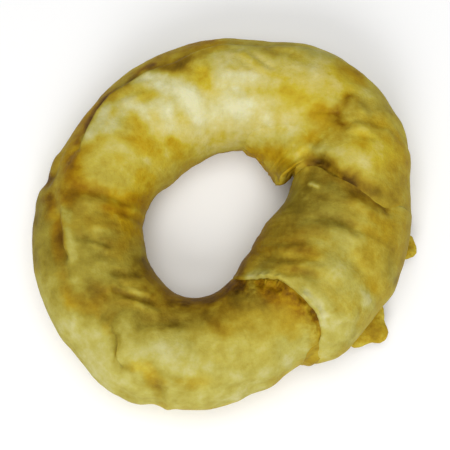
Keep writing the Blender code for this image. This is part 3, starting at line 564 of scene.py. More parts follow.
CUFF_STAINS_AND_SHADING = (
    # cooler by the hole, and patches all over the cuff
    (((17, 5.5), (20, 0.5), (22, -2.5)), 5.0, 0.02, -0.55),
    (((6, -12.5), (8, -10)), 2.0, 0, 0.3),
    (((16, -14), (19.5, -13.5)), 1.6, 0, 0.3),
    (((26, -11.5), (30.5, -11.5)), 3.0, -0.04, 0),
    (((16.5, -15.5), (17.5, -19.5)), 2.4, -0.05, 0),
    (((36, -10.5), (37, -15.5)), 2.0, 0, -0.5),
    (((23, -32), (26.5, -30.5)), 2.0, -0.03, -0.4),
    (((14.5, -2), (10, -9), (8, -13)), 4.0, -0.03, -0.3),
    (((3, -12), (3, -13), (3.5, -13)), 1.5, -0.06, 0),
    (((1.5, -15), (3, -14.5)), 1.0, -0.14, 0),
    (((4.5, -15.5), (6, -16), (8, -16)), 1.0, 0.22, -0.9),
    (((5.5, -12.5), (7, -14)), 1.8, 0.06, -0.2),
    (((16.5, 15), (17, 11.5), (18, 11.5)), 1.8, 0.2, 0.4),
    (((16, 14.5), (16, 6.5)), 1.8, 0.15, 0.3),
    (((24.5, -30), (27.5, -28.5)), 2.0, 0.09, -0.6),
    (((14, 9), (16, 8.5)), 2.4, 0.06, 0.1),
    (((39.5, -16), (40.5, -13.5)), 1.5, -0.08, 0),
    (((17.5, -18), (21, -22.5), (22.5, -27)), 3.0, 0.04, -0.4),
    # painted shade on the side that faces the hole, away from the light
    (((17.5, 7.5), (18.5, 0.5), (14, -7.5), (9, -12.5)), 5.0, -0.13, 0.1),
    (((9, 1), (6, -7.5), (3, -12.5)), 2.0, -0.12, 0.4),
    (((16.5, 9), (22.5, 5.5), (26.5, 3)), 3.5, -0.13, 0),
    (((16.5, 0), (21, -2.5), (24.5, -1)), 3.5, -0.08, 0),
    (((25.5, 5.5), (29.5, 3), (33.5, 1)), 1.8, -0.08, 0),
    # a loose flake
    (((19, 5), (20.5, 4)), 0.5, 0.36, 0.2),
    # the upper part: painted shade in its valleys, and painted light on its ridges
    (((23.5, 3.5), (26, 2)), 1.5, 0.05, -0.3),
    (((30, 2), (33.5, -1)), 2.2, -0.14, 0),
    (((35.5, 0.5), (41, 1.5)), 1.6, -0.06, 0),
    (((22, -4), (27.5, -5)), 1.4, -0.12, 0),
    (((28, 0), (32, -2)), 1.4, 0.05, 0.1),
    (((35.5, 1), (36.5, -1.5)), 1.1, -0.2, 0),
    (((39, 1), (40, 0.5)), 1.0, 0.06, -0.5),
    (((31, -6.5), (32.5, -7.5)), 1.0, -0.06, 0.2),
    (((29.5, -11), (31, -11.5)), 1.0, -0.08, 0),
    (((15, -8.5), (19.5, -7.5), (24, -8)), 2.4, -0.08, 0),
    # pale swellings
    (((24.5, -8), (27, -10.5)), 2.2, 0.12, -0.4),
    (((19, -9.5), (20.5, -10)), 1.1, 0.1, -0.2),
    (((22.5, -14.5), (25.5, -16.5), (26.5, -19.5)), 2.8, 0.1, -0.5),
    (((30.5, -20.5), (31.5, -22)), 1.5, 0.17, -0.9),
    (((28, -12), (30, -15)), 1.2, 0.04, 0.2),
    # painted shade in the valleys near the lip, and painted light on the ridges between them
    (((16.5, -11), (20.5, -13)), 1.2, -0.12, 0.2),
    (((12.5, -12), (13.5, -12)), 0.7, 0.08, 0),
    (((16.5, -15.5), (18, -14.5)), 0.7, 0.08, 0),
    (((14.5, -16), (19.5, -17)), 0.9, -0.14, 0.2),
    # amber on the broad side
    (((35.5, -4.5), (36, -9.5)), 2.2, -0.07, 0.4),
    (((31, -18.5), (32.5, -19.5)), 1.5, -0.07, 0.4),
    (((34.5, -12.5), (35.5, -17.5)), 2.0, -0.03, 0.1),
    (((40, -3.5), (40.5, -9.5)), 1.4, -0.02, 0.1),
    (((22.5, -30), (26, -30.5)), 1.6, -0.04, 0.4),
    # the lip: paler hide along its rolled crest, with a painted highlight on it
    (((17.5, -21.5), (19, -22.5), (20.5, -24), (22, -26)), 1.2, 0.2, -1.2),
    (((22, -26.5), (22.5, -28.5)), 0.9, 0.1, -0.9),
    (((8, -16.5), (11.5, -17.5), (14.5, -19.5)), 0.7, 0.08, -0.2),
    (((22.5, -28), (26, -27), (29, -25.5)), 0.8, 0.08, -0.3),
    (((23, -32.5), (24.5, -34)), 2.0, 0.08, -0.4),
)

# The tone and warmth of hide with no stain, both from 0 to 1.
ROLL_BASE = (0.585, 0.60)
CUFF_BASE = (0.565, 0.50)
FLESH_BASE = (0.47, 0.52)
FIBRE_BASE = (0.40, 0.80)

# Uneven lumps and hollows where the hide shrank as it dried: height, size, octaves and seed.
ROLL_LUMPS = ((0.22, 12.0, 3, 2.0), (0.10, 3.6, 3, 9.0))
CUFF_LUMPS = ((0.18, 10.0, 3, 60.0), (0.08, 3.2, 3, 66.0))
TONGUE_LUMPS = ((0.30, 3.0, 3, 3.0), (0.14, 0.9, 3, 8.0))


# ---- Shape helpers ---------------------------------------------------------------------------------


def smooth(low, high, x):
    """0 below `low`, 1 above `high`, and an even curve between. Where `low` is the greater, it falls."""
    t = np.clip((np.asarray(x, float) - low) / (high - low), 0.0, 1.0)
    return t * t * (3.0 - 2.0 * t)


def stations(values, around):
    """The value at an angle round the ring, on a smooth closed curve through the values of a list."""
    values = np.asarray(values, float)
    place = np.mod(around, 360.0) / STEP_AROUND
    i = np.floor(place).astype(int)
    t = place - i
    a, b, c, d = (values[(i + k) % len(values)] for k in (-1, 0, 1, 2))
    square, cube = 2 * a - 5 * b + 4 * c - d, 3 * b - a - 3 * c + d
    return 0.5 * (2 * b + (c - a) * t + square * t**2 + cube * t**3)


def read_off(table, places, column=1, period=None):
    """A column of a table at each place, on straight lines between the rows, which begin with theirs."""
    return np.interp(places, [row[0] for row in table], [row[column] for row in table], period=period)


def turn_between(a, b):
    """The signed angle from b to a, between -180 and 180 degrees."""
    return np.mod(np.asarray(a, float) - b + 180.0, 360.0) - 180.0


def forms_at(forms, around, over):
    """The summed height of the large swellings and hollows."""
    height = np.zeros(len(around))
    for form_around, form_over, length, breadth, turn, rise in forms:
        along, across = turn_between(around, form_around), turn_between(over, form_over)
        c, s = math.cos(math.radians(turn)), math.sin(math.radians(turn))
        u, v = (along * c + across * s) / length, (across * c - along * s) / breadth
        height += rise * np.exp(-u * u - v * v)
    return height


def over_from_slit(over):
    """`over` as the cuff's tables count it, on from OVER_START."""
    return np.mod(np.asarray(over, float) - OVER_START, 360.0) + OVER_START


def mouth_at(over):
    """Where the cuff's lip stands: it sweeps back over the roll's top, and comes forward in the hole."""
    return read_off(MOUTH, over_from_slit(over))


def top_edge_at(over):
    """Where the cuff's slanting upper edge stands."""
    return read_off(TOP_EDGE, over_from_slit(over))


def edge_at(around):
    """The free edge's angle over the roll, the height of its step, and how sharp it is."""
    return [read_off(FREE_EDGE, around, column, period=360.0) for column in (1, 2, 3)]


def joint_angle(around):
    """`around` counted on from the mouth, so that it runs on past 360 over the joint."""
    return np.where(np.asarray(around) < 180.0, np.asarray(around) + 360.0, around)


def cover_at(around, over):
    """The depth of the sheets on the roll inside the cuff. The inner turn is on the outer side only."""
    low = turn_between(over, 0.0)
    inner = 1.0 - smooth(INNER_TURN_TOP + 8.0, INNER_TURN_TOP + 24.0, low)
    inner = inner * smooth(*INNER_TURN_FOOT, low)
    inner = inner * (1.0 - smooth(INNER_TURN_END + 0.6, INNER_TURN_END + 3.0, joint_angle(around)))
    return CUFF_THICKNESS + CLEARANCE + inner * (INNER_TURN_THICKNESS + CLEARANCE)


def tuck_at(around, over):
    """How much of the cover's depth the roll gives way by: 0 at the mouth, 1 further in."""
    return smooth(0.0, TUCK_LENGTH, joint_angle(around) - np.maximum(mouth_at(over), TUCK_START))


def roll_tuck_at(around, over):
    """The same for the roll's own surface, which swells up again past the cuff's upper edge."""
    begin, length = (read_off(SHOULDER, np.mod(over, 360.0), column) for column in (1, 2))
    past_edge = joint_angle(around) - top_edge_at(over)
    return tuck_at(around, over) * (1.0 - smooth(begin, begin + length, past_edge))


def bed_at(around):
    """How far the roll is held off the floor by the cuff under it."""
    place = joint_angle(around)
    return (CUFF_THICKNESS + CLEARANCE) * smooth(*BED_RISE, place) * (1.0 - smooth(*BED_FALL, place))


def step_height(around, over):
    """The sheet's height over the outline: high just above its free edge, hollow just below it."""
    edge, step, sharp = edge_at(around)
    past = turn_between(over, edge)
    above = step * np.exp(-np.maximum(past, 0.0) / EDGE_FADE)
    below = -GROOVE_SHARE * step * np.exp(np.minimum(past, 0.0) / GROOVE_WIDTH)
    half_width = 1.0 + 10.0 * (1.0 - sharp)
    return below + (above - below) * smooth(-1.0, 1.0, past / half_width)


def place_on_roll(around, over, offset, bed=0.0):
    """Points at `offset` out from the ring's outline, never below the height `bed`."""
    hole, outer, top = (stations(values, around) for values in (HOLE_RADIUS, OUTER_RADIUS, TOP_HEIGHT))
    half_width = (outer - hole) / 2.0
    half_height = (top + UNDERCUT) / 2.0
    turn, lean = np.radians(around), np.radians(over)
    reach = (outer + hole) / 2.0 + (half_width + offset) * np.cos(lean)
    height = half_height - UNDERCUT + (half_height + offset) * np.sin(lean)
    x, y = RING_MIDDLE[0] + reach * np.cos(turn), RING_MIDDLE[1] + reach * np.sin(turn)
    return np.stack([x, y, np.maximum(height, bed)], axis=-1)


def nearness(points, line, half_width):
    """1 on a line drawn on the plan, and falling away to nothing beside it."""
    nearest = np.full(len(points), 1e9)
    for (x1, y1), (x2, y2) in zip(line, line[1:] or line):
        along = np.array([x2 - x1, y2 - y1])
        length = float(along @ along) or 1.0
        from_start = points[:, :2] - (x1, y1)
        share = np.clip(from_start @ along / length, 0.0, 1.0)
        gap = from_start - share[:, None] * along
        nearest = np.minimum(nearest, (gap**2).sum(axis=1))
    return np.exp(-nearest / half_width**2)


def folds_at(points, folds):
    """The summed height of the drawn folds at each point."""
    return sum(height * nearness(points, line, half_width) for line, half_width, height in folds)


def grain(points, size, octaves, seed):
    """Uneven lumps about `size` across, mostly between -1 and 1."""
    shift = Vector((seed, seed * 0.7, -seed))
    scale = 1.0 / size
    return np.array([noise.fractal(Vector(p) * scale + shift, 0.8, 2.1, octaves) for p in points])


def lumps(points, layers):
    """The summed height of layers of lumps. A layer is their height, size, octaves and seed."""
    return sum(height * grain(points, size, octaves, seed) for height, size, octaves, seed in layers)


def wrinkles(around, over, degree_mm, width, length, octaves, seed):
    """Fine wrinkles that run over the roll, where a degree round the ring is `degree_mm` long."""
    x, y = around * degree_mm / width, over * MM_PER_DEGREE / length
    return grain(np.stack([x, y, np.zeros(len(x))], axis=1), 1.0, octaves, seed)


def waver(places, size, seed, fade, octaves):
    """An uneven line: how far it strays at each place, between about -1 and 1."""
    return np.array([noise.fractal(Vector((at / size, seed, 0.0)), fade, 2.0, octaves) for at in places])


def swell(x, middle, half_width):
    """1 at the middle, and falling away to nothing on both sides of it."""
    return np.exp(-(((x - middle) / half_width) ** 2))


def facing_up(over):
    """1 where the surface faces up, and 0 below, where nothing is drawn."""
    return smooth(-0.25, 0.25, np.sin(np.radians(over)))


def facing_hole(over):
    """1 on the side that faces the hole, and 0 from the top outwards."""
    return smooth(-0.1, 0.7, -np.cos(np.radians(over)))


# ---- How the hide dried, with painted light and shade ----------------------------------------------

STRAY_SHARE = 0.4  # how far a drawn stroke's edge strays, as a share of its half width
MOST_STRAY = 0.7  # and the most that it does, in millimetres
STROKE_SPREAD = 1.15  # how much wider than drawn a stroke is, because its uneven edge eats into it
BROAD_STROKE = 4.0  # the half width from which a stroke is even
PAINTED_HOLE_SHADE = 0.12  # how much darker the side facing the hole is painted low down: painted shade


def stains_and_shading_at(points, stains_and_shading, seed):
    """Tone and warmth where the strokes of stain and of painted light and shade are drawn, with their
    edges made uneven.
    """
    stray = np.zeros((len(points), 3))
    for axis, own in ((0, seed), (1, seed + 7.0)):
        stray[:, axis] = lumps(points, ((1.0, 5.0, 2, own), (0.6, 1.5, 2, own + 3.0)))
    uneven = grain(points, 2.4, 3, seed + 5.0)
    tone, warmth = np.zeros(len(points)), np.zeros(len(points))
    for line, half_width, paler, warmer in stains_and_shading:
        strayed = points + stray * min(MOST_STRAY, STRAY_SHARE * half_width)
        near = nearness(strayed, line, half_width * STROKE_SPREAD)
        if half_width < BROAD_STROKE:
            near = near + 1.3 * near * (1.0 - near) * uneven
        tone += paler * near
        warmth += warmer * near
    return tone, warmth


def dried_looks_and_shading(points, over, upward, shown, base, patch_tone, stains_and_shading, seeds):
    """Tone and warmth of a turn of hide: its strokes of stain and of painted light and shade, where it
    is `shown`, its uneven patches, and painted shade low on the side facing the hole.
    """
    stroke_seed, spot_seed, patch_seed, warmth_seed = seeds
    tone, warmth = stains_and_shading_at(points, stains_and_shading, stroke_seed)
    unseen = 1.0 - upward
    tone = base[0] + tone * upward * shown + 0.05 * grain(points, 4.0, 3, spot_seed)
    tone += patch_tone * grain(points, 12.0, 3, patch_seed) * (1.0 + 2.0 * unseen)
    # Painted shade, low on the side that faces the hole.
    tone -= PAINTED_HOLE_SHADE * facing_hole(over) * smooth(0.3, -0.5, np.sin(np.radians(over)))
    warmth = base[1] + warmth * upward + 0.15 * grain(points, 9.0, 3, warmth_seed) * (1.0 + unseen)
    return tone, warmth


# ---- Mesh helpers ----------------------------------------------------------------------------------


def deselect_all():
    """Nothing is selected and no mesh is in edit mode."""
    if bpy.context.object and bpy.context.object.mode != "OBJECT":
        bpy.ops.object.mode_set(mode="OBJECT")
    bpy.ops.object.select_all(action="DESELECT")


def named(name):
    """The primitive just added, under its own name."""
    piece = bpy.context.object
    piece.name = name
    piece.data.name = name
    return piece


def subdivide_all(cuts):
    """Cuts every face of the primitive just added."""
    bpy.ops.object.mode_set(mode="EDIT")
    bpy.ops.mesh.select_all(action="SELECT")
    bpy.ops.mesh.subdivide(number_cuts=cuts)
    bpy.ops.object.mode_set(mode="OBJECT")


def corners_of(piece):
    """The mesh's points as an array of rows, in metres."""
    points = np.empty(len(piece.data.vertices) * 3)
    piece.data.vertices.foreach_get("co", points)
    return points.reshape(-1, 3)


def set_corners(piece, points_mm):
    """Moves the mesh's points to their places, given in millimetres."""
    piece.data.vertices.foreach_set("co", (np.asarray(points_mm) * MM).ravel())
    piece.data.update()


def set_looks(piece, tone, warmth, torn):
    """How pale, how warm and how torn the hide is at each point, which its material reads."""
    for name, values in (("tone", tone), ("warmth", warmth), ("torn", torn)):
        layer = piece.data.attributes.new(name=name, type="FLOAT", domain="POINT")
        layer.data.foreach_set("value", np.clip(values, 0.0, 1.0).astype(np.float32))


def lay_out(piece, across, along, wraps):
    """The piece's own UV map from two numbers a point. Where they wrap, the last faces run on past 1."""
    loops = np.empty(len(piece.data.loops), int)
    piece.data.loops.foreach_get("vertex_index", loops)
    starts = np.empty(len(piece.data.polygons), int)
    totals = np.empty(len(piece.data.polygons), int)
    piece.data.polygons.foreach_get("loop_start", starts)
    piece.data.polygons.foreach_get("loop_total", totals)
    face_of = np.repeat(np.arange(len(starts)), totals)
    uv = np.stack([across[loops], along[loops]], axis=1)
    if wraps:
        for axis in (0, 1):
            low, high = np.full(len(starts), 9.0), np.full(len(starts), -9.0)
            np.minimum.at(low, face_of, uv[:, axis])
            np.maximum.at(high, face_of, uv[:, axis])
            uv[:, axis] += ((high - low)[face_of] > 0.5) & (uv[:, axis] < 0.5)
    for layer in list(piece.data.uv_layers):
        piece.data.uv_layers.remove(layer)
    piece.data.uv_layers.new(name="hide").data.foreach_set("uv", uv.ravel())


def apply_modifier(piece, name):
    """Applies one modifier to its mesh."""
    bpy.context.view_layer.objects.active = piece
    bpy.ops.object.modifier_apply(modifier=name)


def finish(piece, node_name, material):
    """Smooths the piece, gives it its material, hangs it from the root, and hides the solid it stands
    for.
    """
    piece.data.materials.clear()
    piece.data.materials.append(material)
    deselect_all()
    piece.select_set(True)
    bpy.context.view_layer.objects.active = piece
    bpy.ops.object.shade_smooth()
    piece.select_set(False)
    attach(piece, "root")
    if node_name:
        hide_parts(node_name)


# ---- The rolled ring -------------------------------------------------------------------------------

SECTIONS = 500  # round the ring, after one subdivision
SECTION_POINTS = 176  # round the roll, likewise
TORUS_RADIUS, TORUS_TUBE_RADIUS = 30.0, 13.0  # of the torus that is pressed to shape

# The free edge's lip, from the bottom of the gap under it round to its top, and the hide below the gap:
# distance in from the edge, and height as a share of the step.
LIP_PATH = (
    (1.2, -0.30), (0.8, -0.22), (0.35, -0.12), (0.05, 0.05), (-0.12, 0.35), (-0.10, 0.70),
    (0.10, 0.93), (0.5, 1.0),
)
GAP_PATH = ((-0.1, -0.47), (0.5, -0.50), (1.1, -0.42))
PAST_LIP, BELOW_GAP = 0.9, 0.7  # how far from the edge the even points start above and end below it
SHUT_FROM, SHUT_TO, SHUT_SPACE = -2.3, 1.8, 0.4  # the same points' places where the edge has no lip
CREVICE_PLACE, CREVICE_WIDTH = -4.0, 7.0  # the gap's degrees past the edge, and its half width
PAINTED_CREVICE_SHADE = 0.16  # how much darker the hide is painted there: painted shade in the gap

# Where the roll's surface is torn, under the cuff's lip.
MOUTH_LINE = (
    (4.5, -17.5), (7.5, -18.2), (11.0, -18.8), (14.5, -20.3), (17.0, -22.8), (19.5, -25.5),
    (20.5, -28.5),
)


def section_places(around, part):
    """`over` and the lip's height for a section's points, which `part` counts from the gap's bottom.

    Two more rows tell which points follow the lip's path, and how far the edge strays.
    """
    edge, step, sharp = edge_at(around)
    is_open = smooth(0.3, 0.8, sharp)
    is_shut = 1.0 - is_open
    first, last = len(LIP_PATH), SECTION_POINTS - len(GAP_PATH)
    path = np.array([*LIP_PATH, *[(0.0, 0.0)] * (last - first), *GAP_PATH])
    shut = np.zeros(SECTION_POINTS)
    by_gap = np.linspace(SHUT_FROM, SHUT_TO, len(GAP_PATH) + len(LIP_PATH))
    shut[last:], shut[:first] = by_gap[: len(GAP_PATH)], by_gap[len(GAP_PATH) :]
    on_lip = (part < first) | (part >= last)
    distance = path[part, 0] * is_open + shut[part] * is_shut
    strays = np.array([noise.noise(Vector((at / 5.0, 3.1, 0.0))) for at in around])
    strays = 1.3 * strays * smooth(0.2, 0.8, step)
    low = (PAST_LIP * is_open + (SHUT_TO + SHUT_SPACE) * is_shut) * DEGREES_PER_MM
    high = 360.0 - (BELOW_GAP * is_open + (SHUT_SPACE - SHUT_FROM) * is_shut) * DEGREES_PER_MM
    even = low + (high - low) * (part - first) / (last - 1 - first)
    over = edge + strays + np.where(on_lip, distance * DEGREES_PER_MM, even)
    return over, path[part, 1] * step, on_lip * is_open, strays


def roll_relief(around, over, points, upward):
    """The roll's folds and swellings, its lumps, its wrinkles in the hole, and its torn grain."""
    height = folds_at(points, ROLL_FOLDS) * upward + forms_at(ROLL_FORMS, around, over)
    height += lumps(points, ROLL_LUMPS)
    fine = wrinkles(around, over, degree_mm=0.35, width=2.2, length=9.0, octaves=2, seed=7.0)
    height += 0.07 * fine * facing_hole(over)
    return height + 0.16 * nearness(points, MOUTH_LINE, 2.2) * upward * grain(points, 1.0, 2, 4.0)


def roll_looks(over, points, upward):
    """How pale, warm and torn the roll is, with its painted light and shade."""
    tone, warmth = dried_looks_and_shading(
        points, over, upward, shown=1.0,
        base=ROLL_BASE, patch_tone=0.06, stains_and_shading=ROLL_STAINS_AND_SHADING, seeds=(21.0, 47.0, 41.0, 53.0),
    )
    return tone, warmth, nearness(points, MOUTH_LINE, 2.6) * upward


def make_rolled_ring(material):
    """The rolled hide: a torus is pressed to the roll's outline, and given its free edge and relief."""
    deselect_all()
    bpy.ops.mesh.primitive_torus_add(
        major_segments=SECTIONS // 2,
        minor_segments=SECTION_POINTS // 2,
        major_radius=TORUS_RADIUS * MM,
        minor_radius=TORUS_TUBE_RADIUS * MM,
    )
    ring = named("rolled_hide_ring")
    subdivide_all(1)
    points = corners_of(ring) / MM
    turn = np.mod(np.degrees(np.arctan2(points[:, 1], points[:, 0])), 360.0)
    around = np.round(turn * SECTIONS / 360.0) % SECTIONS * 360.0 / SECTIONS
    lean = np.arctan2(points[:, 2], np.hypot(points[:, 0], points[:, 1]) - TORUS_RADIUS)
    part = (np.round(np.mod(lean / (2.0 * np.pi), 1.0) * SECTION_POINTS) % SECTION_POINTS).astype(int)

    over, lip, on_lip, strays = section_places(around, part)
    base = place_on_roll(around, over, np.zeros(len(around)), bed_at(around))
    upward = facing_up(over)
    tuck = roll_tuck_at(around, over)
    height = lip * on_lip + step_height(around, over - strays) * (1.0 - on_lip)
    height += roll_relief(around, over, base, upward) * (1.0 - smooth(0.3, 0.9, tuck))
    height -= cover_at(around, over) * tuck
    points = place_on_roll(around, over, height, bed_at(around))
    set_corners(ring, points)
    lay_out(ring, np.mod(around / 360.0, 1.0), part / SECTION_POINTS, wraps=True)

    tone, warmth, torn = roll_looks(over, points, upward)
    # Painted shade in the gap under the free edge.
    edge, step, sharp = edge_at(around)
    past_edge = turn_between(over, edge + strays)
    crevice_shade = swell(past_edge, CREVICE_PLACE, CREVICE_WIDTH) * step * sharp
    crevice_shade *= np.where(past_edge > 2.0, 0.3, 1.0)
    set_looks(ring, tone - PAINTED_CREVICE_SHADE * crevice_shade, warmth, torn)
    finish(ring, "rolled_ring", material)


# ---- Sheets of hide --------------------------------------------------------------------------------

# Each flat sheet's length and width. The tongue's thickness comes third.
CUFF_SHEET = (44.0, 84.0)
INNER_TURN_SHEET = (46.0, 26.0)
TONGUE_SHEET = (20.0, 22.0, 1.8)
SHARP_ANGLE = 60.0  # degrees between two faces from which their edge is rounded
ROUNDING = 0.46  # of a sheet's rim, as a share of its thickness


def add_sheet(name, length, width, thickness, rows, columns, rim):
    """A flat sheet with rounded rims, and each point's share of its length, width and depth.

    Its outermost faces are `rim` wide, and the others share what is left.
    """
    deselect_all()
    bpy.ops.mesh.primitive_grid_add(x_subdivisions=rows, y_subdivisions=columns, size=1.0)
    sheet = named(name)
    flat = corners_of(sheet)
    for axis, size, count in ((0, length, rows), (1, width, columns)):
        place = np.round((flat[:, axis] + 0.5) * count)
        inner = rim + (size - 2.0 * rim) * (place - 1.0) / (count - 2.0)
        flat[:, axis] = np.where(place == 0, 0.0, np.where(place == count, size, inner)) - size / 2.0
    set_corners(sheet, flat)
    wall = sheet.modifiers.new("wall", "SOLIDIFY")
    wall.thickness = thickness * MM
    wall.offset = 0.0
    apply_modifier(sheet, "wall")
    rounding = sheet.modifiers.new("rounding", "BEVEL")
    rounding.limit_method = "ANGLE"
    rounding.angle_limit = math.radians(SHARP_ANGLE)
    rounding.width = ROUNDING * thickness * MM
    rounding.segments = 3
    apply_modifier(sheet, "rounding")
    flat = corners_of(sheet) / MM
    shares = flat / (length, width, thickness) + 0.5
    return sheet, shares[:, 0], shares[:, 1], 1.0 - shares[:, 2]


def cuff_lift(share, over):
    """How far the lip stands off what it covers, and how much its hem is thickened behind that."""
    on_top = smooth(*TOP_RISE, over) * (1.0 - smooth(*TOP_FALL, over))
    lift = LIP_LIFT * on_top * (1.0 - smooth(0.0, LIP_SHARE, share))
    for gap_over, half_width, height in LIP_GAPS:
        lift += height * swell(over, gap_over, half_width) * (1.0 - smooth(0.0, GAP_SHARE, share))
    return lift, HEM_HEIGHT * swell(share, HEM_PLACE, HEM_WIDTH) * on_top


def cuff_thinning(share, over, outer_side):
    """How much thinner the sheet is at the lip and the upper edge, and how far the lip sinks in."""
    hole_side = smooth(*HOLE_SIDE, over)
    thin_lip = (0.9 * outer_side + 0.6 * hole_side) * (1.0 - smooth(0.0, 0.12, share))
    pinched = smooth(*PINCH_RISE, over) * (1.0 - 0.85 * smooth(*PINCH_FALL, over))
    drawn_in = PINCH * smooth(PINCH_SHARE, 1.0, share) * pinched
    thin = np.minimum(drawn_in, CUFF_THICKNESS * 0.65) + thin_lip
    sunk = outer_side * (0.8 + 1.05 * smooth(4.0, 24.0, over)) + 0.45 * hole_side
    sunk += 0.5 * smooth(148.0, 160.0, over)
    return thin, sunk * (1.0 - smooth(0.0, LIP_SHARE, share))


def cuff_relief(share, around, over, base, upward):
    """The cuff's folds, lumps and wrinkles, fainter at its two edges, and its large forms."""
    fine = wrinkles(around, over, degree_mm=0.5, width=1.8, length=11.0, octaves=3, seed=71.0)
    relief = folds_at(base, CUFF_FOLDS) * upward + lumps(base, CUFF_LUMPS) + 0.06 * fine
    relief *= (0.35 + 0.65 * smooth(0.0, 0.1, share)) * (1.0 - 0.5 * smooth(0.9, 1.0, share))
    relief += forms_at(CUFF_FORMS, around, over) * smooth(0.0, 0.2, share)
    return np.maximum(relief, -0.45 * CUFF_THICKNESS)


def make_cuff(material):
    """The cuff: a sheet wrapped from the slit over the top, down through the hole and under the roll."""
    size = (*CUFF_SHEET, CUFF_THICKNESS)
    cuff, share, wrap, depth = add_sheet("hide_cuff", *size, rows=104, columns=220, rim=0.85)
    over = SLIT_LIP + (360.0 + SLIT_FOOT - SLIT_LIP) * wrap
    mouth = mouth_at(over) + 0.3 * waver(over, size=9.0, seed=8.0, fade=0.8, octaves=3)
    around = mouth + (top_edge_at(over) - mouth) * share
    upward = facing_up(over)
    by_pit = smooth(0.76, 0.92, share) * smooth(98.0, 112.0, over)  # it bridges the pit at its corner
    bare = forms_at(ROLL_FORMS, around, over) * (1.0 - by_pit)
    bare += np.maximum(0.0, step_height(around, over))
    bare += cover_at(around, over) * (1.0 - tuck_at(around, over))
    base = place_on_roll(around, over, bare)
    outer_side = 1.0 - smooth(*OUTER_SIDE, over)
    lift, hem = cuff_lift(share, over)
    thin, sunk = cuff_thinning(share, over, outer_side)
    relief = cuff_relief(share, around, over, base, upward)
    outside = bare + lift + hem - sunk - thin
    offset = outside - depth * (CUFF_THICKNESS - thin + hem) + relief * (1.0 - 0.8 * depth)
    set_corners(cuff, place_on_roll(around, over, offset, CUFF_THICKNESS * depth))
    lay_out(cuff, share, wrap, wraps=False)

    inside = smooth(0.5, 0.9, depth)
    # Its tone carries painted light and shade too: from the drawn strokes, and low on the side facing
    # the hole.
    tone, warmth = dried_looks_and_shading(
        base, over, upward, shown=1.0 - inside,
        base=CUFF_BASE, patch_tone=0.05, stains_and_shading=CUFF_STAINS_AND_SHADING, seeds=(81.0, 87.0, 91.0, 97.0),
    )
    pale_hem = 0.08 * (1.0 - smooth(0.02, 0.08, share)) * outer_side * upward
    set_looks(cuff, tone + pale_hem - 0.28 * inside, warmth + 0.3 * inside, 0.8 * inside)
    finish(cuff, "cuff", material)


# The torn corners that stand out of the slit: angle round the ring, and how far out they reach there.
TORN_EDGE = (
    (298, 1.0), (317.0, 1.0), (318.6, 3.4), (319.4, 5.6), (320.6, 6.5), (321.6, 7.0), (322.8, 7.4),
    (324.0, 8.0), (324.6, 8.9), (325.3, 9.7), (326.5, 10.2), (327.8, 10.1), (329.2, 9.7),
    (330.5, 8.4), (331.9, 7.0), (334.6, 5.5), (335.3, 4.9), (337.0, 3.9), (339.0, 2.0),
    (341.0, 1.0), (349.8, 1.0), (351.0, 4.6), (351.8, 6.3), (352.8, 7.5), (354.0, 8.2),
    (355.2, 8.1), (356.4, 7.7), (358.0, 7.0), (360.0, 6.0), (361.0, 5.8),
)
# The strip at the mouth: angle over the roll, and where its end stands round the ring.
STRIP_END = (
    (-40, 300.5), (-6, 301.2), (12, 301.8), (22, 303.2), (29, 305.6), (31, 308.5), (34, 313.0),
    (38, 316.0),
)
FLAP_SHARE = 0.42  # of the sheet's width, outside the slit
LEAST_REACH = 0.6  # how far the sheet shows out of the slit between the corners


def make_inner_turn(material):
    """The wrap's inner turn: it shows as a strip at the mouth, and as torn corners out of the slit."""
    size = (*INNER_TURN_SHEET, INNER_TURN_THICKNESS)
    turn, share, wrap, depth = add_sheet("torn_inner_turn", *size, rows=200, columns=90, rim=0.6)
    on_roll = np.clip((wrap - FLAP_SHARE) / (1.0 - FLAP_SHARE), 0.0, 1.0)
    out = np.clip(1.0 - wrap / FLAP_SHARE, 0.0, 1.0)
    slit = (SLIT_LIP + SLIT_FOOT) / 2.0
    over = slit + (INNER_TURN_TOP - slit) * on_roll
    start = read_off(STRIP_END, over)
    around = start + (INNER_TURN_END - start) * share
    offset = step_height(around, over) - cover_at(around, over) * tuck_at(around, over)
    # The sheet is worn thin towards its end at the mouth, over a longer way higher on the outer side.
    upper = smooth(4.0, 20.0, over)
    worn = 0.15 + 0.85 * smooth(2.0 * upper, 2.5 + 8.5 * upper, around - start)
    gap = CLEARANCE * worn + INNER_TURN_THICKNESS * (worn - depth * np.maximum(worn, 0.4))
    points = place_on_roll(around, over, offset + gap, bed_at(around) + np.maximum(gap, 0.0))
    ragged = waver(around, size=2.2, seed=5.0, fade=0.9, octaves=2)
    reach = np.maximum(read_off(TORN_EDGE, around) + 0.15 * ragged, LEAST_REACH)
    heading = np.radians(around)
    points[:, 0] += out * reach * np.cos(heading)
    points[:, 1] += out * reach * np.sin(heading)
    # The corners droop a little, and are crumpled, coarsely and then finely.
    points[:, 2] += -1.2 * out**2 * smooth(2.0, 8.0, reach) + 0.35 * out * grain(points, 3.0, 3, 11.0)
    points[:, 2] += 0.2 * out * grain(points, 1.0, 2, 15.0)
    set_corners(turn, points)
    lay_out(turn, share, wrap, wraps=False)
    spots = grain(points, 2.6, 3, 19.0)
    torn = smooth(0.0, 0.25, out)
    tone = FLESH_BASE[0] + 0.02 * torn + 0.06 * spots + 0.10 * smooth(0.75, 1.0, out)
    set_looks(turn, tone, FLESH_BASE[1] + 0.18 * torn + 0.1 * spots, 0.35 * torn + 0.1)
    finish(turn, "inner_turn", material)


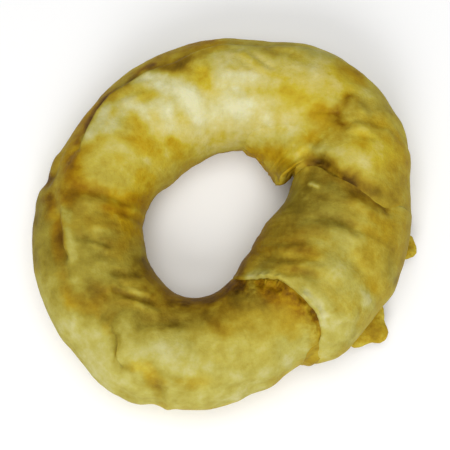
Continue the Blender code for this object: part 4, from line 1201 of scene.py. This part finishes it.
# The tongue in the hole: angle round the ring, and how far it stands out of the roll there.
LOBE = (
    (35.9, -0.6), (36.2, 1.2), (36.8, 3.8), (37.6, 4.4), (38.8, 4.6), (40.4, 5.0), (42.0, 5.5),
    (45.0, 6.3), (48.0, 6.5), (51.0, 5.6), (54.0, 4.6), (57.0, 3.4), (61.0, 2.1), (65.5, 1.5),
    (71.0, 0.5), (77.0, -0.2),
)
LOBE_START, LOBE_END = LOBE[0][0], LOBE[-1][0]
LOBE_TOP = 122.0  # `over` where it grows out of the roll
ROOT_LENGTH = 5.0  # degrees by which its root runs on towards the cuff, so that it has no step there


def make_hole_tongue(material):
    """The rough tongue: a lobe that grows out of the roll's torn side, and hangs over the floor."""
    tongue, share, hang, depth = add_sheet("rough_tongue", *TONGUE_SHEET, rows=140, columns=130, rim=0.7)
    root = 1.0 - smooth(0.25, 0.6, hang)
    start = LOBE_START - ROOT_LENGTH * root
    around = start + (LOBE_END - start) * share
    # It hangs lowest a third of the way along.
    drop = 60.0 + 46.0 * smooth(0.02, 0.30, share) - 26.0 * smooth(0.45, 1.0, share)
    over = LOBE_TOP + drop * hang
    base = place_on_roll(around, over, np.zeros(len(around)))
    out = read_off(LOBE, LOBE_START + (LOBE_END - LOBE_START) * share)
    out *= 1.0 + 0.03 * waver(around, size=6.0, seed=1.0, fade=0.7, octaves=2)
    out *= smooth(0.0, 0.62, hang) * (1.0 - 0.35 * smooth(0.8, 1.0, hang) * smooth(0.1, 0.3, share))
    out *= 1.0 - (1.0 - smooth(0.0, 0.24, share)) * (1.0 - smooth(0.2, 0.55, hang))
    around -= 5.2 * (1.0 - share) ** 3.5 * smooth(0.3, 2.2, out) * (1.0 - root)  # it leans to the cuff
    lower = smooth(0.35, 0.8, hang)
    offset = step_height(around, over) + out + 0.6 * smooth(0.0, 1.4, out) - 0.6 - 1.5 * depth
    offset += roll_relief(around, over, base, 1.0 - lower) * (1.0 - 0.8 * depth)
    points = place_on_roll(around, over, offset)
    offset += lumps(points, TONGUE_LUMPS) * lower * (1.0 - 0.8 * depth)
    points = place_on_roll(around, over, offset)
    set_corners(tongue, points)
    lay_out(tongue, around / 360.0, over / 360.0, wraps=False)
    tone, warmth, torn = roll_looks(over, points, np.ones(len(around)))
    tone += (-0.06 + 0.06 * grain(points, 2.4, 3, 29.0)) * lower - 0.1 * lower * depth
    set_looks(tongue, tone, warmth + 0.1 * lower, torn + 0.5 * lower)
    finish(tongue, "hole_tongue", material)


# ---- The torn webs that bridge the gap under the lip -----------------------------------------------

WEBS = (116.5, 104.5)  # angle over the roll


def make_fibres(material):
    """The webs: tapered strands, each bent from the cuff's lip down to the roll, joined as one piece."""
    pick = random.Random(4)
    strands = []
    for i, web in enumerate(WEBS):
        deselect_all()
        bpy.ops.mesh.primitive_cone_add(
            vertices=8, radius1=1.0, radius2=0.6, depth=1.0, end_fill_type="TRIFAN"
        )
        strand = named(f"fibre_{i:02d}")
        subdivide_all(3)
        flat = corners_of(strand)
        along = flat[:, 2] + 0.5
        girth = pick.uniform(0.30, 0.50)
        lean = pick.uniform(-2.0, 2.0)
        start = mouth_at(web) + pick.uniform(0.8, 1.6)
        end = mouth_at(web) - pick.uniform(1.0, 2.6)
        here = start + (end - start) * along
        widened = 1.0 + 0.8 * np.abs(along - 0.4)  # towards both ends
        across = web + lean * along + flat[:, 0] * girth * DEGREES_PER_MM * widened
        lip_height = cover_at(np.full(len(along), start), across) - CUFF_THICKNESS * 0.9
        height = lip_height * (1.0 - along) ** 1.5 + 0.15 * np.sin(np.pi * along)
        height += flat[:, 1] * girth + 0.05
        height += forms_at(ROLL_FORMS, here, across) + step_height(here, across)
        set_corners(strand, place_on_roll(here, across, height))
        strands.append(strand)
    deselect_all()
    for strand in strands:
        strand.select_set(True)
    bpy.context.view_layer.objects.active = strands[0]
    bpy.ops.object.join()
    fibres = named("torn_fibres")
    bpy.ops.object.mode_set(mode="EDIT")
    bpy.ops.mesh.select_all(action="SELECT")
    bpy.ops.mesh.normals_make_consistent(inside=False)
    bpy.ops.object.mode_set(mode="OBJECT")
    points = corners_of(fibres) / MM
    tone = FIBRE_BASE[0] + 0.08 * grain(points, 3.0, 2, 5.0)
    set_looks(fibres, tone, np.full(len(points), FIBRE_BASE[1]), np.full(len(points), 0.3))
    finish(fibres, None, material)


# ---- Materials -------------------------------------------------------------------------------------

# From the darkest to the palest: where on the tone scale, and the colour there.
WARM_TONES = (
    (0.00, "2a1802"), (0.18, "624004"), (0.36, "8e6804"), (0.52, "ac8c10"), (0.66, "beaa2e"),
    (0.82, "cebe6a"), (1.00, "dcd6a2"),
)
COOL_TONES = (
    (0.00, "2c2005"), (0.18, "58460c"), (0.36, "7c6a1a"), (0.52, "9a8c32"), (0.66, "aea450"),
    (0.82, "c0ba80"), (1.00, "d4d0a4"),
)

# The hide's patterns: size in millimetres, detail, and roughness. The coarse one is the cloudiness of
# its fibres, the fine one their ends, and the grain is about 0.3 mm, drawn at 0.5 mm to show.
PATTERNS = {"coarse": (3.57, 4.0, 0.55), "fine": (1.111, 3.0, 0.6), "grain": (0.5, 2.0, 0.5)}


def shade(hex_code):
    """An sRGB hex colour as linear red, green, blue and alpha."""
    parts = [int(hex_code[i : i + 2], 16) / 255.0 for i in (0, 2, 4)]
    return (*[p / 12.92 if p <= 0.04045 else ((p + 0.055) / 1.055) ** 2.4 for p in parts], 1.0)


def add_node(tree, kind, settings=(), values=(), links=()):
    """One node, with its properties in `settings`, and its sockets' numbers and wired inputs."""
    made = tree.nodes.new(kind)
    for name, value in dict(settings).items():
        setattr(made, name, value)
    for socket, value in dict(values).items():
        made.inputs[socket].default_value = value
    for socket, source in dict(links).items():
        tree.links.new(source, made.inputs[socket])
    return made


def new_material(name):
    """An empty material: its node tree and its shader, wired to the output."""
    material = bpy.data.materials.new(name)
    material.use_nodes = True
    tree = material.node_tree
    tree.nodes.clear()
    shader = add_node(tree, "ShaderNodeBsdfPrincipled")
    add_node(tree, "ShaderNodeOutputMaterial", links={"Surface": shader.outputs["BSDF"]})
    return material, tree, shader


# What the rolled hide's own UV map spans: the roll's length along its middle, and the way round it.
ROLL_SPAN = (192.5, 83.7)
# Sizes of the bundles that the fibres lie in, each way on the piece's own UV map.
ROLL_BUNDLES, CUFF_BUNDLES, FLESH_BUNDLES = (2.75, 9.3), (2.0, 12.0), (2.875, 2.889)


def hide_material(name, roughness, bump_mm, span, bundle):
    """Rawhide: a cattle skin split, cleaned, and dried with no tanning.

    It is a horny, translucent sheet. Where it dried slowly it is clear and amber, and where air got
    between its fibres it is pale and matt. Its fibres lie in bundles 2 to 3 mm wide, which show as faint
    streaks.
    """
    material, tree, shader = new_material(name)
    place = add_node(tree, "ShaderNodeTexCoord").outputs["Object"]
    own = add_node(tree, "ShaderNodeUVMap", {"uv_map": "hide"}).outputs["UV"]
    counts = {"Scale": (span[0] / bundle[0], span[1] / bundle[1], 1.0)}
    stretched = add_node(tree, "ShaderNodeMapping", values=counts, links={"Vector": own})
    settings = {key: (place, 1.0 / (size * MM), *rest) for key, (size, *rest) in PATTERNS.items()}
    settings["streaks"] = (stretched.outputs[0], 1.0, 3.0, 0.5)
    patterns = {}
    for key, (vector, scale, detail, unevenness) in settings.items():
        values = {"Scale": scale, "Detail": detail, "Roughness": unevenness}
        pattern = add_node(tree, "ShaderNodeTexNoise", values=values, links={"Vector": vector})
        patterns[key] = pattern.outputs["Fac"]
    tone, torn, warmth = (
        add_node(tree, "ShaderNodeAttribute", {"attribute_name": key}).outputs["Fac"]
        for key in ("tone", "torn", "warmth")
    )

    # How pale the hide is: its tone, which carries painted light and shade too, and the unevenness of
    # its fibres, which is stronger where torn.
    add, less = {"operation": "MULTIPLY_ADD"}, {"operation": "SUBTRACT"}
    grit = add_node(tree, "ShaderNodeMath", add, {1: 0.35, 2: 0.15}, {0: torn}).outputs[0]
    strengths = {"fine": ({}, {1: grit}), "coarse": ({1: 0.30}, {}), "streaks": ({1: 0.14}, {})}
    for key, (values, wired) in strengths.items():
        off = add_node(tree, "ShaderNodeMath", less, {1: 0.5}, {0: patterns[key]}).outputs[0]
        tone = add_node(tree, "ShaderNodeMath", add, values, {0: off, 2: tone, **wired}).outputs[0]
    ramps = []
    for stops in (COOL_TONES, WARM_TONES):
        ramp = add_node(tree, "ShaderNodeValToRGB", links={"Fac": tone})
        bands = ramp.color_ramp.elements
        for i, (stop, colour) in enumerate(stops):
            band = bands[i] if i < 2 else bands.new(stop)
            band.position = stop
            band.color = shade(colour)
        ramps.append(ramp.outputs["Color"])
    links = {0: warmth, 6: ramps[0], 7: ramps[1]}
    colour = add_node(tree, "ShaderNodeMix", {"data_type": "RGBA"}, links=links)
    tree.links.new(colour.outputs[2], shader.inputs["Base Color"])

    # The pale, airy hide is matt, and the clear amber hide has some gloss.
    matt = {1: 0.2, 2: 0.8, 3: roughness - 0.06, 4: roughness + 0.12}
    gloss = add_node(tree, "ShaderNodeMapRange", values=matt, links={0: tone})
    tree.links.new(gloss.outputs[0], shader.inputs["Roughness"])

    # The relief that is too fine for the mesh.
    links = {0: patterns["coarse"], 2: patterns["grain"]}
    relief = add_node(tree, "ShaderNodeMath", add, {1: 3.0}, links)
    rough = add_node(tree, "ShaderNodeMath", add, {1: 2.2, 2: 0.8}, {0: torn}).outputs[0]
    links = {0: patterns["fine"], 1: rough, 2: relief.outputs[0]}
    relief = add_node(tree, "ShaderNodeMath", add, links=links).outputs[0]
    heights = {"Strength": 1.0, "Distance": bump_mm * MM}
    bump = add_node(tree, "ShaderNodeBump", values=heights, links={"Height": relief})
    tree.links.new(bump.outputs[0], shader.inputs["Normal"])
    for socket, value in (
        ("IOR", 1.45),
        ("Specular IOR Level", 0.10),
        ("Subsurface Weight", 0.2),
        ("Subsurface Scale", 1.0 * MM),
        ("Subsurface Radius", (1.0, 0.7, 0.2)),
    ):
        shader.inputs[socket].default_value = value
    return material


def floor_material():
    """Matt white paper, the plain floor."""
    material, _, shader = new_material("white_paper")
    shader.inputs["Base Color"].default_value = shade("fafafa")
    shader.inputs["Roughness"].default_value = 0.9
    return material


# ---- Floor, light and camera -----------------------------------------------------------------------

FLOOR_SIZE = 4000.0
LAMP_AIM = (0.0, 0.0, 10.0)
# Each lamp: its name, its place, the length of its sides, and its power in watts.
LAMPS = (
    ("front_softbox", (-60.0, -430.0, 410.0), 260.0, 1.75),
    ("overhead_softbox", (0.0, -60.0, 620.0), 420.0, 1.8),
)
FILL_LIGHT = 0.40
CAMERA_RISE = 76.0  # degrees above the floor
CAMERA_DISTANCE = 296.05
CAMERA_AIM = (-0.42, -1.42, 12.0)
CAMERA_LENS = 100.0
CAMERA_NEAR = 10.0  # nothing nearer to the camera than this is shown


def add_floor():
    """The plain floor under the chew."""
    deselect_all()
    bpy.ops.mesh.primitive_plane_add(size=FLOOR_SIZE * MM)
    floor = named("floor")
    floor.data.materials.append(floor_material())


def add_light():
    """Soft studio light: square lamps in front and above, turned to the chew, and an even fill."""
    for name, place, side, watts in LAMPS:
        deselect_all()
        bpy.ops.object.light_add(type="AREA", location=[p * MM for p in place])
        lamp = bpy.context.object
        lamp.name = name
        lamp.data.size = side * MM
        lamp.data.energy = watts
        lamp.rotation_euler = (Vector(LAMP_AIM) - Vector(place)).to_track_quat("-Z", "Y").to_euler()
    world = bpy.data.worlds.new("studio")
    world.use_nodes = True
    background = world.node_tree.nodes["Background"]
    background.inputs["Color"].default_value = (1.0, 1.0, 1.0, 1.0)
    background.inputs["Strength"].default_value = FILL_LIGHT
    bpy.context.scene.world = world
    bpy.context.scene.view_settings.view_transform = "Standard"


def add_camera():
    """The camera, at the photo's angle."""
    rise = math.radians(CAMERA_RISE)
    back = Vector((0.0, -math.cos(rise), math.sin(rise)))
    deselect_all()
    bpy.ops.object.camera_add(location=(Vector(CAMERA_AIM) + back * CAMERA_DISTANCE) * MM)
    camera = bpy.context.object
    camera.rotation_euler = (-back).to_track_quat("-Z", "Y").to_euler()
    camera.data.lens = CAMERA_LENS
    camera.data.clip_start = CAMERA_NEAR * MM
    bpy.context.scene.camera = camera


def main():
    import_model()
    hide = hide_material("rawhide", 0.62, 0.10, ROLL_SPAN, ROLL_BUNDLES)
    cuff_hide = hide_material("rawhide_cuff", 0.60, 0.10, CUFF_SHEET, CUFF_BUNDLES)
    flesh = hide_material("rawhide_flesh_side", 0.68, 0.12, INNER_TURN_SHEET, FLESH_BUNDLES)
    make_rolled_ring(hide)
    make_cuff(cuff_hide)
    make_inner_turn(flesh)
    make_hole_tongue(hide)
    make_fibres(flesh)
    add_floor()
    add_light()
    add_camera()


main()
